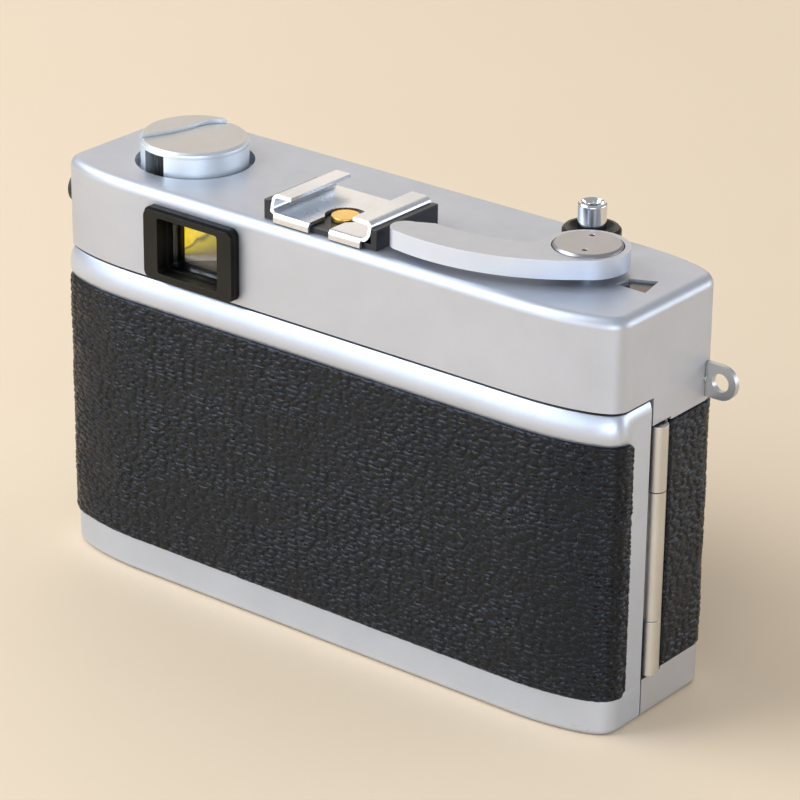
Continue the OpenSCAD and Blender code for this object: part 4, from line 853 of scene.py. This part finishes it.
# ------------------------------------------------------------------ floor, light, camera
def stage_plane(name, size, z, mat):
    me = bpy.data.meshes.new(name)
    r = size
    me.from_pydata([(-r, -r, z), (r, -r, z), (r, r, z), (-r, r, z)], [], [(0, 1, 2, 3)])
    me.materials.append(mat)
    o = bpy.data.objects.new(name, me)
    SCENE.collection.objects.link(o)
    return o


fs = Surface("floor_pale")
fs.set(Base_Color=fs.mix(fs.noise(60, 3, 0.5), (0.885, 0.695, 0.495), (0.905, 0.72, 0.52)), Roughness=0.6, Specular_IOR_Level=0.25)
stage_plane("floor", 3.0, 0.0, fs.m)

world = bpy.data.worlds.new("studio")
SCENE.world = world
world.use_nodes = True
wt = world.node_tree
wt.nodes.clear()
geo = wt.nodes.new("ShaderNodeTexCoord")
sep = wt.nodes.new("ShaderNodeSeparateXYZ")
wt.links.new(geo.outputs["Generated"], sep.inputs[0])
ramp = wt.nodes.new("ShaderNodeValToRGB")
wt.links.new(sep.outputs["Z"], ramp.inputs["Fac"])
el = ramp.color_ramp.elements
el[0].position, el[0].color = 0.0, (0.80, 0.70, 0.58, 1)
el[1].position, el[1].color = 1.0, (0.78, 0.88, 1.0, 1)
e2 = ramp.color_ramp.elements.new(0.35)
e2.color = (0.86, 0.83, 0.80, 1)
bg = wt.nodes.new("ShaderNodeBackground")
bg.inputs["Strength"].default_value = 0.53
wt.links.new(ramp.outputs["Color"], bg.inputs["Color"])
out = wt.nodes.new("ShaderNodeOutputWorld")
wt.links.new(bg.outputs[0], out.inputs[0])

TARGET = Vector((0, 0, 0.035))


def area(name, direction, dist, size, power, color, size_y=None):
    li = bpy.data.lights.new(name, "AREA")
    li.energy, li.color, li.size = power, color, size
    if size_y:
        li.shape, li.size_y = "RECTANGLE", size_y
    o = bpy.data.objects.new(name, li)
    d = Vector(direction).normalized()
    o.location = TARGET + d * dist
    o.rotation_mode = "QUATERNION"
    o.rotation_quaternion = d.to_track_quat("Z", "Y")
    SCENE.collection.objects.link(o)
    return o


area("window", (0.57, 0.42, 0.72), 1.0, 0.75, 6.5, (0.86, 0.93, 1.0), 0.6)
area("sky_low", (0.42, 0.90, 0.20), 1.4, 1.7, 6.0, (0.72, 0.84, 1.0), 0.5)
area("sash", (0.5675, 0.66, 0.45), 1.2, 0.9, 2.0, (0.80, 0.90, 1.0), 0.09)
area("sky_side", (-0.66, 0.74, 0.10), 1.3, 1.0, 8.0, (0.70, 0.83, 1.0), 0.5)
area("wall", (0.55, -0.75, 0.42), 1.4, 1.5, 3.0, (1.0, 0.87, 0.72), 0.9)
area("side", (-0.72, -0.62, 0.14), 1.3, 1.1, 5.0, (0.78, 0.88, 1.0), 0.5)

cam = bpy.data.objects.new("camera", bpy.data.cameras.new("camera"))
SCENE.collection.objects.link(cam)
right = Vector((-0.78181, -0.62344, 0.00983))
fwd = Vector((0.5675, -0.7180, -0.4031)).normalized()
up = right.cross(fwd).normalized()
right = fwd.cross(up).normalized()
cam.matrix_world = Matrix(((right.x, up.x, -fwd.x, -0.334592), (right.y, up.y, -fwd.y, 0.417638), (right.z, up.z, -fwd.z, 0.272765), (0, 0, 0, 1)))
cam.data.lens = 163.06
cam.data.sensor_width = 36
cam.data.clip_start, cam.data.clip_end = 0.01, 20
SCENE.camera = cam
SCENE.view_settings.view_transform = "Standard"
SCENE.view_settings.look = "None"
